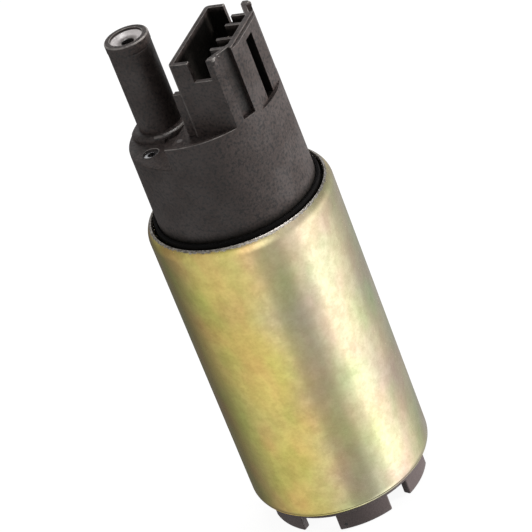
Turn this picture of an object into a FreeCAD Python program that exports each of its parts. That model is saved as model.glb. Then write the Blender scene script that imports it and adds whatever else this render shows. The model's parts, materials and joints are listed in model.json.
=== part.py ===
import FreeCAD, Part
import math
import os

from FreeCAD import Vector

# An electric fuel pump that hangs inside a tank, standing upright on the lugs of its inlet cover.
# Sizes are in millimetres. Z runs up the motor shaft, and z = 0 is the plane of the lugs' feet.
# +X points from the outlet tube towards the flat back of the electrical connector.

# Clearances
slip = 0.05                 # between parts that are assembled and then stay still
press = 0.02                # between parts that are pressed on the shaft
shaft_play = 0.03           # radial, shaft in its bushes
face_play = 0.1             # axial, between faces that run or lift past each other
guide_play = 0.06           # radial, check valve stem in its guide
brush_play = 0.15           # each side, brush in its tunnel
spring_rest = 0.06          # between a spring's end and its seat
cut_over = 1.0              # how far a cutting tool runs past the face it opens
weld_in = 0.2               # how far two shapes of one moulding run into each other

# Can
can_radius = 19.0
can_wall = 1.0
can_length = 66.3
top_roll_radius = 3.14
top_roll_angle = 52.8
bottom_roll_radius = 2.93
bottom_roll_angle = 40.4

# Inlet cover with its feet
lug_height = 4.3
lug_inset = 1.4             # from the can's inner wall to the lugs' outer faces
lug_thickness = 1.7
lug_corner = 0.35
lug_angles = ((-78.2, -38.2), (-20.7, 13.8))
lug_repeats = 3
plate_reveal = 1.3
plate_gap = 0.14            # plate edge to the rolled lip round it
pump_joint_height = 10.5    # plane where inlet cover and casing meet
inlet_radius = 2.8
inlet_inset = 2.5           # from the impeller's rim to the inlet's axis
inlet_angle = -160.0
channel_sweep = 290.0
channel_depth = 1.3

# Pump casing and impeller
impeller_inset = 3.6        # from the can's inner wall to the impeller's rim
impeller_thickness = 3.0
impeller_rim_gap = 0.3
vane_count = 32
vane_slot_width = 1.3
vane_slot_depth = 2.6
casing_floor = 4.8
casing_hub_radius = 5.5
casing_hub_height = 2.0
outlet_port_radius = 1.9

# Shaft, bushes and thrust pad
shaft_radius = 2.0
shaft_in_bush = 5.7
drive_flat = 1.5
bush_radius = 3.5
bush_shoulder = 0.9
thrust_pad_radius = 2.4
thrust_pad_thickness = 1.0
thrust_pocket_floor = 8.0

# Motor
air_gap = 0.6               # radial, core to magnets
core_short = 6.0            # how much shorter the core is than the magnets
core_bottom = 26.0
slot_count = 8
slot_mouth = 1.6
slot_inner_radius = 6.0
tooth_tip = 1.5
slot_inner_width = 2.4
slot_outer_width = 5.4
slot_paper = 0.25
crown_height = 3.8
crown_inner_radius = 4.6
crown_inset = 1.1           # from the core's side
crown_round = 1.5
commutator_inset = 1.7      # from the core's side
commutator_bore_radius = 4.0
commutator_base_height = 1.8
segment_height = 2.0
segment_gap = 0.5
magnet_thickness = 4.7
magnet_bottom = 22.0
magnet_end_gap = 4.05       # up to the top cover's flange
magnet_angle = 130.0
clip_thickness = 0.6
clip_leg = 3.0
clip_margin = 2.0           # how far the clip stops short of the magnet's ends
clip_edge_angle = 0.3       # degrees between clip and magnet

# Brushes
brush_inset = 3.0           # from the commutator's rim to the brush's axis
brush_depth = 4.4
brush_width = 5.4
brush_length = 12.0
tunnel_wall = 1.0
tunnel_start = 1.9          # tunnel mouth above the brush's face
brush_spring_space = 10.4
brush_spring_radius = 1.7
brush_spring_wire = 0.25
brush_spring_turns = 8
lead_radius = 0.35
lead_hole_radius = 1.0
lead_channel_height = 1.4
lead_channel_rise = 0.7

# Top cover, from its flange under the rolled lip up to the connector's rim
skirt_length = 9.3
skirt_bore_radius = 16.0
skirt_bore_length = 8.0
neck_gap = 0.95             # round the neck, inside the rolled lip
neck_draft = 0.4            # on the radius, over the cover's height
chamber_wall = 1.8
low_deck_above_lip = 17.4
deck_round = 0.5
deck_roof = 2.3
high_deck_rise = 4.4
high_deck_start = -1.5
high_rim_width = 0.8
high_rim_depth = 1.1
high_roof = 1.6
high_room_start = 0.5
hub_radius = 5.0
hub_core_radius = 2.4
hub_drop = 2.3              # hub mouth above the commutator's face
upper_bush_length = 6.5
hub_core_roof = 2.0
block_size = (2.2, 1.3, 0.7)
block_offset = (1.0, -6.35) # from the tube's axis

# Outlet tube and check valve
tube_inset = 2.1            # from the neck's side
tube_radius = 4.35
tube_bore_radius = 3.25
tube_above_deck = 20.6
tube_edge = 0.4
boss_radius = 6.1
boss_height = 1.3
boss_edge = 0.5
passage_radius = 2.0
valve_seat_above_deck = 2.3
washer_radius = 2.6
washer_thickness = 0.6
poppet_radius = 2.5
poppet_thickness = 1.2
stem_length = 10.5
stem_fin = 0.6
check_spring_length = 8.0
check_spring_radius = 2.1
check_spring_wire = 0.25
check_spring_turns = 5
insert_top_recess = 0.5
insert_bore_radius = 1.8
insert_mouth_radius = 2.9
insert_mouth_depth = 2.0

# Pressure relief valve
relief_inset = 3.54         # from the neck's side to the valve's axis
relief_angle = -133.1
relief_bore_radius = 1.6
relief_wall = 1.25
relief_floor_below_deck = 7.8
relief_floor_thickness = 1.5
relief_seat_radius = 0.9
relief_ball_radius = 1.3
relief_spring_radius = 1.0
relief_spring_wire = 0.2
relief_spring_turns = 4
relief_ring_bore = 0.8
relief_ring_thickness = 1.5
relief_ring_recess = 0.4

# Connector
socket_left = 2.7
panel_inset = 1.1           # flat back panel, from the neck's side
socket_half_width = 10.6
socket_wall = 0.95
socket_corner = 0.9
back_wall = 1.9
socket_rim_above_lip = 36.5
socket_floor_above_deck = 3.7
back_ledge_above_floor = 0.6
back_panel_drop = 0.3
back_panel_thickness = 0.75
back_slot_half_width = 1.5
back_slot_length = 13.1
notch_width = 3.6
notch_depth = 4.1
notch_flare = 0.15
nub_setback = 4.45          # from the back panel
nub_length = 1.9
nub_radius = 0.95
nub_sink = 0.7              # nub's axis below the rim
nub_inset = 0.8             # nub's axis from the wall's outside
nub_round = 0.4
guide_length = 3.35
guide_thickness = 0.8
guide_offsets = (2.5, 5.9)
corner_groove_angle = 29.8
corner_groove_width = 2.9
corner_groove_depth = 1.0
corner_groove_rise = 1.4
corner_wall = 0.9           # between the groove and the cavity
buttress_inset = 0.55
buttress_reach = 1.6
buttress_width = 1.4
buttress_drop = 6.6

# Terminals, chokes and their leads
terminal_from_back = 5.0
terminal_pitch = 4.2
terminal_thickness = 0.8
terminal_width = 2.8
terminal_below_rim = 4.2
tab_above_roof = 1.0
tab_reach = 0.9             # tab past the choke's axis
choke_side_gap = 0.4        # coil to the chamber's wall
choke_radius = 1.6
choke_length = 13.0
choke_coil_wire = 0.3
choke_coil_gap = 0.1
choke_coil_pitch = 0.76
choke_coil_turns = 14
choke_coil_start = 1.0
link_clear = 1.3

# Ring seal between cover and rolled lip
seal_gap = 0.18             # to the rolled lip
seal_height = 3.3
seal_round = 0.25

# Heights and radii that follow from the sizes above
can_inner_radius = can_radius - can_wall
can_bottom = lug_height + plate_reveal
can_top = can_bottom + can_length
top_roll_start = can_top - top_roll_radius * math.sin(math.radians(top_roll_angle))
bottom_roll_start = can_bottom + bottom_roll_radius * math.sin(math.radians(bottom_roll_angle))
fill_radius = can_inner_radius - slip
flange_top = top_roll_start - slip
flange_bottom = flange_top - skirt_length
cover_step = bottom_roll_start + slip

lip_inner_radius = can_radius - top_roll_radius + (top_roll_radius - can_wall) * math.cos(
    math.radians(top_roll_angle)
)
lug_radius = can_inner_radius - lug_inset
neck_radius = lip_inner_radius - neck_gap
neck_top_radius = neck_radius - neck_draft
low_deck = can_top + low_deck_above_lip
high_rim = low_deck + high_deck_rise
high_deck = high_rim - high_rim_depth
low_roof = low_deck - deck_roof
high_ceiling = high_deck - high_roof
chamber_radius = neck_radius - chamber_wall
socket_rim = can_top + socket_rim_above_lip
socket_floor = low_deck + socket_floor_above_deck
tube_top = low_deck + tube_above_deck
tube_offset = tube_radius + tube_inset - neck_radius
relief_place = (
    (neck_radius - relief_inset) * math.cos(math.radians(relief_angle)),
    (neck_radius - relief_inset) * math.sin(math.radians(relief_angle)),
)
socket_back = neck_radius - panel_inset
socket_back_inner = socket_back - back_wall
nub_left = socket_back - nub_setback
notch_left = nub_left - notch_flare - notch_width

impeller_radius = can_inner_radius - impeller_inset
inlet_pitch = impeller_radius - inlet_inset
impeller_bottom = pump_joint_height + face_play
impeller_top = impeller_bottom + impeller_thickness
cavity_top = impeller_top + face_play
casing_top = cavity_top + casing_floor
casing_hub_top = casing_top + casing_hub_height
channel_outer_radius = impeller_radius + impeller_rim_gap
channel_inner_radius = impeller_radius - vane_slot_depth - impeller_rim_gap
shaft_bottom = thrust_pocket_floor + thrust_pad_thickness + face_play

magnet_inner_radius = can_inner_radius - magnet_thickness
magnet_length = flange_bottom - magnet_end_gap - magnet_bottom
core_radius = magnet_inner_radius - air_gap
core_top = core_bottom + magnet_length - core_short
slot_outer_radius = core_radius - tooth_tip
crown_gap = slip * 4
winding_top = core_top + crown_gap + crown_height
winding_bottom = core_bottom - crown_gap - crown_height
crown_outer_radius = core_radius - crown_inset
commutator_radius = core_radius - commutator_inset
commutator_bottom = winding_top + crown_gap
segment_bottom = commutator_bottom + commutator_base_height
commutator_face = segment_bottom + segment_height

brush_pitch = commutator_radius - brush_inset
brush_bottom = commutator_face + face_play
brush_top = brush_bottom + brush_length
spring_seat = brush_top + brush_spring_space
tunnel_mouth = brush_bottom + tunnel_start
channel_low = spring_seat + lead_channel_rise
channel_high = channel_low + lead_channel_height
lead_height = (channel_low + channel_high) / 2
hub_mouth = commutator_face + hub_drop
shaft_top = hub_mouth + shaft_in_bush

valve_seat = low_deck + valve_seat_above_deck
washer_bottom = valve_seat + face_play
poppet_bottom = washer_bottom + washer_thickness
poppet_top = poppet_bottom + poppet_thickness
stem_top = poppet_top + stem_length
insert_bottom = poppet_top + check_spring_length
insert_top = tube_top - insert_top_recess

relief_seat = low_deck - relief_floor_below_deck
relief_ball_height = relief_seat + math.sqrt((relief_ball_radius + face_play) ** 2 - relief_seat_radius ** 2)
relief_ring_top = low_deck - relief_ring_recess
relief_ring_bottom = relief_ring_top - relief_ring_thickness
relief_touch = relief_ball_radius + relief_spring_wire + spring_rest
relief_spring_bottom = (
    relief_ball_height + math.sqrt(relief_touch ** 2 - relief_spring_radius ** 2) - relief_spring_wire
)

terminal_x = socket_back_inner - terminal_from_back
tab_bottom = low_roof + tab_above_roof
tab_top = tab_bottom + terminal_thickness
choke_bottom = tab_bottom - choke_length
choke_coil_radius = choke_radius + choke_coil_gap + choke_coil_wire
choke_coil_bottom = choke_bottom + choke_coil_start
choke_reach = chamber_radius - choke_side_gap - choke_coil_radius - choke_coil_wire
choke_x = math.sqrt(choke_reach ** 2 - brush_pitch ** 2)


def cylinder(radius, low, high, x=0.0, y=0.0):
    return Part.makeCylinder(radius, high - low, Vector(x, y, low))


def ring(outer, inner, low, high, x=0.0, y=0.0):
    return cylinder(outer, low, high, x, y).cut(cylinder(inner, low - cut_over, high + cut_over, x, y))


def block(x_span, y_span, z_span):
    size = [high - low for low, high in (x_span, y_span, z_span)]
    return Part.makeBox(*size, Vector(x_span[0], y_span[0], z_span[0]))


def turned(points, x=0.0, y=0.0):
    # A closed outline of (radius, height) points, turned about a vertical axis.
    corners = [Vector(radius, 0, height) for radius, height in points]
    face = Part.Face(Part.makePolygon(corners + corners[:1]))
    solid = face.revolve(Vector(0, 0, 0), Vector(0, 0, 1), 360)
    solid.translate(Vector(x, y, 0))
    return solid


def prism(points, low, high):
    # A closed outline of (x, y) points, raised from low to high.
    corners = [Vector(x, y, low) for x, y in points]
    face = Part.Face(Part.makePolygon(corners + corners[:1]))
    return face.extrude(Vector(0, 0, high - low))


def sector(outer, inner, start, end, low, high):
    # Part of a ring, from the angle start to the angle end in degrees.
    outer_part = Part.makeCylinder(outer, high - low, Vector(0, 0, low), Vector(0, 0, 1), end - start)
    outer_part.rotate(Vector(0, 0, 0), Vector(0, 0, 1), start)
    return outer_part.cut(cylinder(inner, low - cut_over, high + cut_over))


def around(shape, angle):
    turned_copy = shape.copy()
    turned_copy.rotate(Vector(0, 0, 0), Vector(0, 0, 1), angle)
    return turned_copy


def level_edges(shape, height):
    # Edges that lie flat at one height.
    return [
        edge for edge in shape.Edges
        if abs(edge.BoundBox.ZMin - height) < 1e-6 and abs(edge.BoundBox.ZMax - height) < 1e-6
    ]


def upright_edges(shape, chosen):
    # Straight edges along Z whose middle passes the test.
    found = []
    for edge in shape.Edges:
        box = edge.BoundBox
        if box.XLength < 1e-6 and box.YLength < 1e-6 and chosen(box.Center):
            found.append(edge)
    return found


def merge(first, *others):
    return first.multiFuse(list(others)).removeSplitter()


def coil(mean_radius, wire_radius, low, high, turns, x, y, turn_angle=0.0):
    # A round wire wound about a vertical axis, its lowest and highest points at low and high.
    climb = high - low - 2 * wire_radius
    pitch = climb / turns
    helix = Part.makeHelix(pitch, climb, mean_radius)
    along = Vector(0, 1, pitch / (2 * math.pi * mean_radius))
    section = Part.Wire(Part.makeCircle(wire_radius, Vector(mean_radius, 0, 0), along))
    wound = Part.Wire(helix).makePipeShell([section], True, True)
    wound.rotate(Vector(0, 0, 0), Vector(0, 0, 1), turn_angle)
    wound.translate(Vector(x, y, low + wire_radius))
    return wound


def bent_wire(points, wire_radius, bend):
    # Straight runs joined by tangent arcs through right-angled corners.
    edges = []
    start = points[0]
    for corner, after in zip(points[1:-1], points[2:]):
        into = (corner - start).normalize()
        out_of = (after - corner).normalize()
        arc_start = corner - into * bend
        arc_end = corner + out_of * bend
        centre = arc_start + out_of * bend
        middle = centre + (corner - centre).normalize() * bend
        edges.append(Part.makeLine(start, arc_start))
        edges.append(Part.Arc(arc_start, middle, arc_end).toShape())
        start = arc_end
    edges.append(Part.makeLine(start, points[-1]))
    path = Part.Wire(edges)
    section = Part.Wire(Part.makeCircle(wire_radius, points[0], points[1] - points[0]))
    return path.makePipeShell([section], True, False)


def can():
    # A drawn tube whose ends are rolled inwards over the covers.
    def rolled(centre_height, roll_radius, angle, up):
        centre = Vector(can_radius - roll_radius, 0, centre_height)

        def at(radius, degrees):
            turn = math.radians(degrees)
            return centre + Vector(radius * math.cos(turn), 0, up * radius * math.sin(turn))

        inner = roll_radius - can_wall
        outer_arc = [at(roll_radius, share * angle) for share in (0, 0.5, 1)]
        inner_arc = [at(inner, share * angle) for share in (1, 0.5, 0)]
        return outer_arc, inner_arc

    top_out, top_in = rolled(top_roll_start, top_roll_radius, top_roll_angle, 1)
    low_out, low_in = rolled(bottom_roll_start, bottom_roll_radius, bottom_roll_angle, -1)
    edges = [
        Part.makeLine(low_out[0], top_out[0]),
        Part.Arc(*top_out).toShape(),
        Part.makeLine(top_out[2], top_in[0]),
        Part.Arc(*top_in).toShape(),
        Part.makeLine(top_in[2], low_in[2]),
        Part.Arc(*low_in).toShape(),
        Part.makeLine(low_in[0], low_out[2]),
        Part.Arc(*low_out).toShape(),
    ]
    face = Part.Face(Part.Wire(Part.__sortEdges__(edges)))
    return face.revolve(Vector(0, 0, 0), Vector(0, 0, 1), 360)


def neck_radius_at(height):
    share = (height - flange_top) / (socket_rim - flange_top)
    return neck_radius + (neck_top_radius - neck_radius) * share


def neck_to(height):
    # The drafted outer body of the cover, from the flange up to a height.
    return Part.makeCone(neck_radius, neck_radius_at(height), height - flange_top, Vector(0, 0, flange_top))


def connector_outside():
    body = neck_to(socket_rim)
    outline = block(
        (socket_left, socket_back), (-socket_half_width, socket_half_width), (high_deck - weld_in, socket_rim)
    )
    corners = upright_edges(outline, lambda middle: middle.x < socket_left + socket_corner)
    shell = body.common(outline.makeFillet(socket_corner, corners))
    # Below the ledge the wall runs out to the full round body.
    ledge = socket_floor + back_ledge_above_floor
    foot = block(
        (socket_back_inner, neck_radius + cut_over),
        (-socket_half_width, socket_half_width),
        (high_deck - weld_in, ledge),
    )
    return merge(shell, body.common(foot))


def connector_cuts():
    half = socket_half_width - socket_wall
    over = socket_rim + cut_over
    cavity = block((socket_left + socket_wall, socket_back_inner), (-half, half), (socket_floor, over))
    # Each back corner stays closed behind its groove.
    corner = block(
        (neck_top_radius - corner_groove_depth - corner_wall, 2 * neck_radius),
        (-neck_radius, neck_radius),
        (socket_floor - cut_over, over + cut_over),
    )
    cavity = cavity.cut([around(corner, side * corner_groove_angle) for side in (-1, 1)])
    step = block((socket_back - back_panel_thickness, neck_radius), (-half, half), (socket_rim - back_panel_drop, over))
    slot_low = socket_floor + back_ledge_above_floor
    slot = block(
        (socket_back_inner - cut_over, neck_radius),
        (-back_slot_half_width, back_slot_half_width),
        (slot_low, slot_low + back_slot_length),
    )
    cuts = [cavity, step, slot]
    notch_low = socket_rim - notch_depth
    for side in (-1, 1):
        near = side * (half - cut_over)
        far = side * (socket_half_width + cut_over)
        outline = [
            Vector(notch_left, near, notch_low),
            Vector(notch_left + notch_width, near, notch_low),
            Vector(notch_left + notch_width + notch_flare, near, over),
            Vector(notch_left - notch_flare, near, over),
        ]
        face = Part.Face(Part.makePolygon(outline + outline[:1]))
        cuts.append(face.extrude(Vector(0, far - near, 0)))
        groove = block(
            (neck_top_radius - corner_groove_depth, neck_radius + cut_over),
            (-corner_groove_width / 2, corner_groove_width / 2),
            (socket_floor + corner_groove_rise, over),
        )
        cuts.append(around(groove, side * corner_groove_angle))
    return cuts


def connector_details():
    # Keying ribs on the back wall, nubs on the rim, and a buttress at each front corner.
    details = []
    for side in (-1, 1):
        for offset in guide_offsets:
            middle = side * offset
            details.append(block(
                (socket_back_inner - guide_length, socket_back_inner + weld_in),
                (middle - guide_thickness / 2, middle + guide_thickness / 2),
                (socket_floor - weld_in, socket_rim),
            ))
        nub_place = Vector(nub_left, side * (socket_half_width - nub_inset), socket_rim - nub_sink)
        nub = Part.makeCylinder(nub_radius, nub_length, nub_place, Vector(1, 0, 0))
        details.append(nub.makeFillet(nub_round, [edge for edge in nub.Edges if len(edge.Vertexes) == 1]))
        outer = side * (socket_half_width - buttress_inset)
        buttress_span = sorted((outer, outer - side * buttress_width))
        details.append(block(
            (socket_left - buttress_reach, socket_left + weld_in),
            buttress_span,
            (high_deck - weld_in, socket_rim - buttress_drop),
        ))
    return details


def brush_tunnels():
    half_depth = brush_depth / 2 + brush_play
    half_width = brush_width / 2 + brush_play
    walls = []
    cuts = []
    for side in (-1, 1):
        middle = side * brush_pitch
        walls.append(block(
            (-half_width - tunnel_wall, half_width + tunnel_wall),
            (middle - half_depth - tunnel_wall, middle + half_depth + tunnel_wall),
            (tunnel_mouth, high_ceiling + weld_in),
        ).common(cylinder(chamber_radius + weld_in, tunnel_mouth, low_roof + weld_in)))
        cuts.append(block(
            (-half_width, half_width),
            (middle - half_depth, middle + half_depth),
            (tunnel_mouth - cut_over, spring_seat),
        ))
        cuts.append(cylinder(lead_hole_radius, spring_seat - cut_over, channel_low + weld_in, 0, middle))
        cuts.append(block(
            (-lead_hole_radius, half_width + tunnel_wall + cut_over),
            (middle - lead_hole_radius, middle + lead_hole_radius),
            (channel_low, channel_high),
        ))
    return walls, cuts


def top_cover():
    low_body = neck_to(low_deck)
    low_body = low_body.makeFillet(deck_round, level_edges(low_body, low_deck))
    flange = cylinder(fill_radius, flange_bottom, flange_top)
    high_half = block(
        (high_deck_start, neck_radius + cut_over),
        (-neck_radius - cut_over, neck_radius + cut_over),
        (low_deck - deck_round - weld_in, high_rim),
    )
    high_body = neck_to(high_rim).common(high_half)
    rim_hollow = Part.makeCylinder(
        neck_radius_at(high_rim) - high_rim_width, high_rim_depth + cut_over, Vector(0, 0, high_deck)
    )
    high_body = high_body.cut(rim_hollow)

    boss = cylinder(boss_radius, low_deck - weld_in, low_deck + boss_height, tube_offset)
    boss = boss.common(cylinder(neck_radius_at(low_deck) - deck_round, low_deck - weld_in, low_deck + boss_height))
    boss = boss.makeFillet(boss_edge, level_edges(boss, low_deck + boss_height))
    outlet = cylinder(tube_radius, low_deck - weld_in, tube_top, tube_offset)
    outlet = outlet.makeFillet(tube_edge, level_edges(outlet, tube_top))
    pad_x = tube_offset + block_offset[0]
    pad = block(
        (pad_x, pad_x + block_size[0]),
        (block_offset[1], block_offset[1] + block_size[1]),
        (low_deck - weld_in, low_deck + block_size[2]),
    )
    body = merge(flange, low_body, high_body, boss, outlet, pad, connector_outside())

    skirt_room = cylinder(skirt_bore_radius, flange_bottom - cut_over, flange_bottom + skirt_bore_length)
    chamber = cylinder(chamber_radius, flange_bottom, low_roof)
    high_room = cylinder(chamber_radius, low_roof - weld_in, high_ceiling).common(block(
        (high_room_start, chamber_radius), (-chamber_radius, chamber_radius), (low_roof - weld_in, high_ceiling)
    ))
    body = body.cut([skirt_room, chamber, high_room, *connector_cuts()])

    hub = cylinder(hub_radius, hub_mouth, low_roof + weld_in)
    tunnel_walls, tunnel_cuts = brush_tunnels()
    relief_x, relief_y = relief_place
    relief_outer = relief_bore_radius + relief_wall
    relief_bottom = relief_seat - relief_floor_thickness
    relief_boss = cylinder(relief_outer, relief_bottom, low_roof + weld_in, relief_x, relief_y)
    relief_boss = relief_boss.common(cylinder(neck_radius - weld_in, relief_bottom, low_deck))
    body = merge(body, hub, relief_boss, *tunnel_walls, *connector_details())

    bores = [
        cylinder(bush_radius + slip, hub_mouth - cut_over, hub_mouth + upper_bush_length),
        cylinder(hub_core_radius, hub_mouth, low_roof - hub_core_roof),
        cylinder(tube_bore_radius, valve_seat, tube_top + cut_over, tube_offset),
        cylinder(passage_radius, low_roof - cut_over, valve_seat + weld_in, tube_offset),
        cylinder(relief_bore_radius, relief_seat, low_deck + cut_over, relief_x, relief_y),
        cylinder(relief_seat_radius, relief_bottom - cut_over, relief_seat + weld_in, relief_x, relief_y),
    ]
    for side in (-1, 1):
        bores.append(terminal_blade(side, press, high_ceiling - cut_over, socket_floor + weld_in))
    return body.cut([*bores, *tunnel_cuts])


def terminal_blade(side, grow, low, high):
    half_thickness = terminal_thickness / 2 + grow
    half_width = terminal_width / 2 + grow
    middle = side * terminal_pitch
    return block(
        (terminal_x - half_thickness, terminal_x + half_thickness),
        (middle - half_width, middle + half_width),
        (low, high),
    )


def terminal(side):
    tip = socket_rim - terminal_below_rim
    blade = terminal_blade(side, 0.0, tab_bottom, tip)
    blade = blade.makeChamfer(terminal_thickness / 4, [
        edge for edge in level_edges(blade, tip) if edge.BoundBox.YLength > terminal_thickness
    ])
    near = terminal_pitch - terminal_width / 2
    far = brush_pitch + tab_reach
    tab = block(
        (terminal_x - terminal_thickness / 2, choke_x + choke_radius),
        sorted((side * near, side * far)),
        (tab_bottom, tab_top),
    )
    return merge(blade, tab)


def choke_link(side):
    # The wire that carries current from the choke's lower end to the brush's lead.
    middle = side * brush_pitch
    coil_edge = choke_x - choke_coil_radius - choke_coil_wire - slip
    drop_x = coil_edge - link_clear
    end_height = choke_coil_bottom + choke_coil_wire
    return bent_wire([
        Vector(-lead_radius, middle, lead_height),
        Vector(drop_x, middle, lead_height),
        Vector(drop_x, middle, end_height),
        Vector(coil_edge, middle, end_height),
    ], lead_radius, link_clear / 2)


def armature_core():
    core = cylinder(core_radius, core_bottom, core_top)
    core = core.cut(cylinder(shaft_radius + press, core_bottom - cut_over, core_top + cut_over))
    cuts = []
    for index in range(slot_count):
        angle = 360.0 * index / slot_count
        cuts.append(around(winding_slot(0.0, core_bottom - cut_over, core_top + cut_over), angle))
        mouth = block(
            (slot_outer_radius - weld_in, core_radius + cut_over),
            (-slot_mouth / 2, slot_mouth / 2),
            (core_bottom - cut_over, core_top + cut_over),
        )
        cuts.append(around(mouth, angle))
    return core.cut(cuts)


def winding_slot(shrink, low, high):
    inner = slot_inner_radius + shrink
    outer = slot_outer_radius - shrink
    near = slot_inner_width / 2 - shrink
    far = slot_outer_width / 2 - shrink
    return prism([(inner, -near), (outer, -far), (outer, far), (inner, near)], low, high)


def armature_windings():
    crowns = []
    for low in (winding_bottom, winding_top - crown_height):
        crown = ring(crown_outer_radius, crown_inner_radius, low, low + crown_height)
        rims = level_edges(crown, low) + level_edges(crown, low + crown_height)
        crowns.append(crown.makeFillet(crown_round, rims))
    fills = []
    for index in range(slot_count):
        fill = winding_slot(slot_paper, winding_bottom + crown_round, winding_top - crown_round)
        fills.append(around(fill, 360.0 * index / slot_count))
    return merge(crowns[0], crowns[1], *fills)


def commutator_segments():
    disc = ring(commutator_radius, commutator_bore_radius, segment_bottom, commutator_face)
    cuts = []
    for index in range(slot_count):
        gap = block(
            (0, commutator_radius + cut_over),
            (-segment_gap / 2, segment_gap / 2),
            (segment_bottom - cut_over, commutator_face + cut_over),
        )
        cuts.append(around(gap, 360.0 * (index + 0.5) / slot_count))
    return disc.cut(cuts)


def shaft():
    bar = cylinder(shaft_radius, shaft_bottom, shaft_top)
    flat = block(
        (drive_flat, shaft_radius + cut_over),
        (-shaft_radius, shaft_radius),
        (shaft_bottom - cut_over, cavity_top),
    )
    return bar.cut(flat)


def impeller():
    wheel = cylinder(impeller_radius, impeller_bottom, impeller_top)
    bore = cylinder(shaft_radius + press, impeller_bottom - cut_over, impeller_top + cut_over)
    land = block(
        (drive_flat + press, shaft_radius + cut_over),
        (-shaft_radius - cut_over, shaft_radius + cut_over),
        (impeller_bottom - cut_over, impeller_top + cut_over),
    )
    cuts = [bore.cut(land)]
    for index in range(vane_count):
        slot = block(
            (impeller_radius - vane_slot_depth, impeller_radius + cut_over),
            (-vane_slot_width / 2, vane_slot_width / 2),
            (impeller_bottom - cut_over, impeller_top + cut_over),
        )
        cuts.append(around(slot, 360.0 * index / vane_count))
    return wheel.cut(cuts)


def flow_channel(low, high):
    return sector(
        channel_outer_radius, channel_inner_radius, inlet_angle, inlet_angle + channel_sweep, low, high
    )


def port_place(angle, pitch):
    turn = math.radians(angle)
    return pitch * math.cos(turn), pitch * math.sin(turn)


def pump_casing():
    body = cylinder(fill_radius, pump_joint_height, casing_top)
    hub = cylinder(casing_hub_radius, casing_top - weld_in, casing_hub_top)
    cavity = cylinder(channel_outer_radius, pump_joint_height - cut_over, cavity_top)
    bush_floor = cavity_top + bush_shoulder
    port_x, port_y = port_place(
        inlet_angle + channel_sweep, (channel_outer_radius + channel_inner_radius) / 2
    )
    return merge(body, hub).cut([
        cavity,
        flow_channel(cavity_top - weld_in, cavity_top + channel_depth),
        cylinder(shaft_radius + 2 * face_play, cavity_top - weld_in, bush_floor + weld_in),
        cylinder(bush_radius + slip, bush_floor, casing_hub_top + cut_over),
        cylinder(outlet_port_radius, cavity_top, casing_top + cut_over, port_x, port_y),
    ])


def inlet_cover():
    plate_radius = can_radius - bottom_roll_radius + (bottom_roll_radius - can_wall) * math.cos(
        math.radians(bottom_roll_angle)
    ) - plate_gap
    plate = cylinder(plate_radius, lug_height, cover_step + weld_in)
    flange = cylinder(fill_radius, cover_step, pump_joint_height)
    lugs = []
    for repeat in range(lug_repeats):
        for start, end in lug_angles:
            lug = sector(lug_radius, lug_radius - lug_thickness, start, end, 0.0, lug_height + weld_in)
            edges = level_edges(lug, 0.0)
            lugs.append(around(lug.makeFillet(lug_corner, edges), 360.0 * repeat / lug_repeats))
    port_x, port_y = port_place(inlet_angle, inlet_pitch)
    return merge(plate, flange, *lugs).cut([
        flow_channel(pump_joint_height - channel_depth, pump_joint_height + cut_over),
        cylinder(inlet_radius, lug_height - cut_over, pump_joint_height + cut_over, port_x, port_y),
        cylinder(thrust_pad_radius + slip, thrust_pocket_floor, pump_joint_height + cut_over),
    ])


def check_valve_poppet():
    head = cylinder(poppet_radius, poppet_bottom, poppet_top, tube_offset)
    reach = insert_bore_radius - guide_play
    guide = cylinder(reach, poppet_top - weld_in, stem_top, tube_offset)
    fins = []
    for along_x in (True, False):
        long_way = (-reach, reach)
        thin_way = (-stem_fin / 2, stem_fin / 2)
        x_span, y_span = (long_way, thin_way) if along_x else (thin_way, long_way)
        fin = block(x_span, y_span, (poppet_top - weld_in, stem_top))
        fin.translate(Vector(tube_offset, 0, 0))
        fins.append(fin.common(guide))
    return merge(head, *fins)


def outlet_insert():
    outer = tube_bore_radius - press
    mouth_low = insert_top - insert_mouth_depth
    return turned([
        (insert_bore_radius, insert_bottom),
        (outer, insert_bottom),
        (outer, insert_top),
        (insert_mouth_radius, insert_top),
        (insert_bore_radius, mouth_low),
    ], tube_offset)


def magnet(side_angle):
    half = magnet_angle / 2
    return sector(
        fill_radius, magnet_inner_radius, side_angle - half, side_angle + half,
        magnet_bottom, magnet_bottom + magnet_length,
    )


def magnet_clip(side_angle):
    # A spring strip with two legs that press the magnets apart.
    half = 90.0 - magnet_angle / 2 - clip_edge_angle
    leg_turn = math.degrees(clip_thickness / fill_radius)
    low = magnet_bottom + clip_margin
    high = magnet_bottom + magnet_length - clip_margin
    strip = sector(fill_radius, fill_radius - clip_leg, side_angle - half, side_angle + half, low, high)
    inside = sector(
        fill_radius - clip_thickness, magnet_inner_radius - cut_over,
        side_angle - half + leg_turn, side_angle + half - leg_turn, low - cut_over, high + cut_over,
    )
    return strip.cut(inside)


def cover_seal():
    outer = lip_inner_radius - seal_gap
    band = ring(outer, neck_radius + slip, flange_top, flange_top + seal_height)
    return band.makeFillet(seal_round, level_edges(band, flange_top + seal_height))


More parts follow.
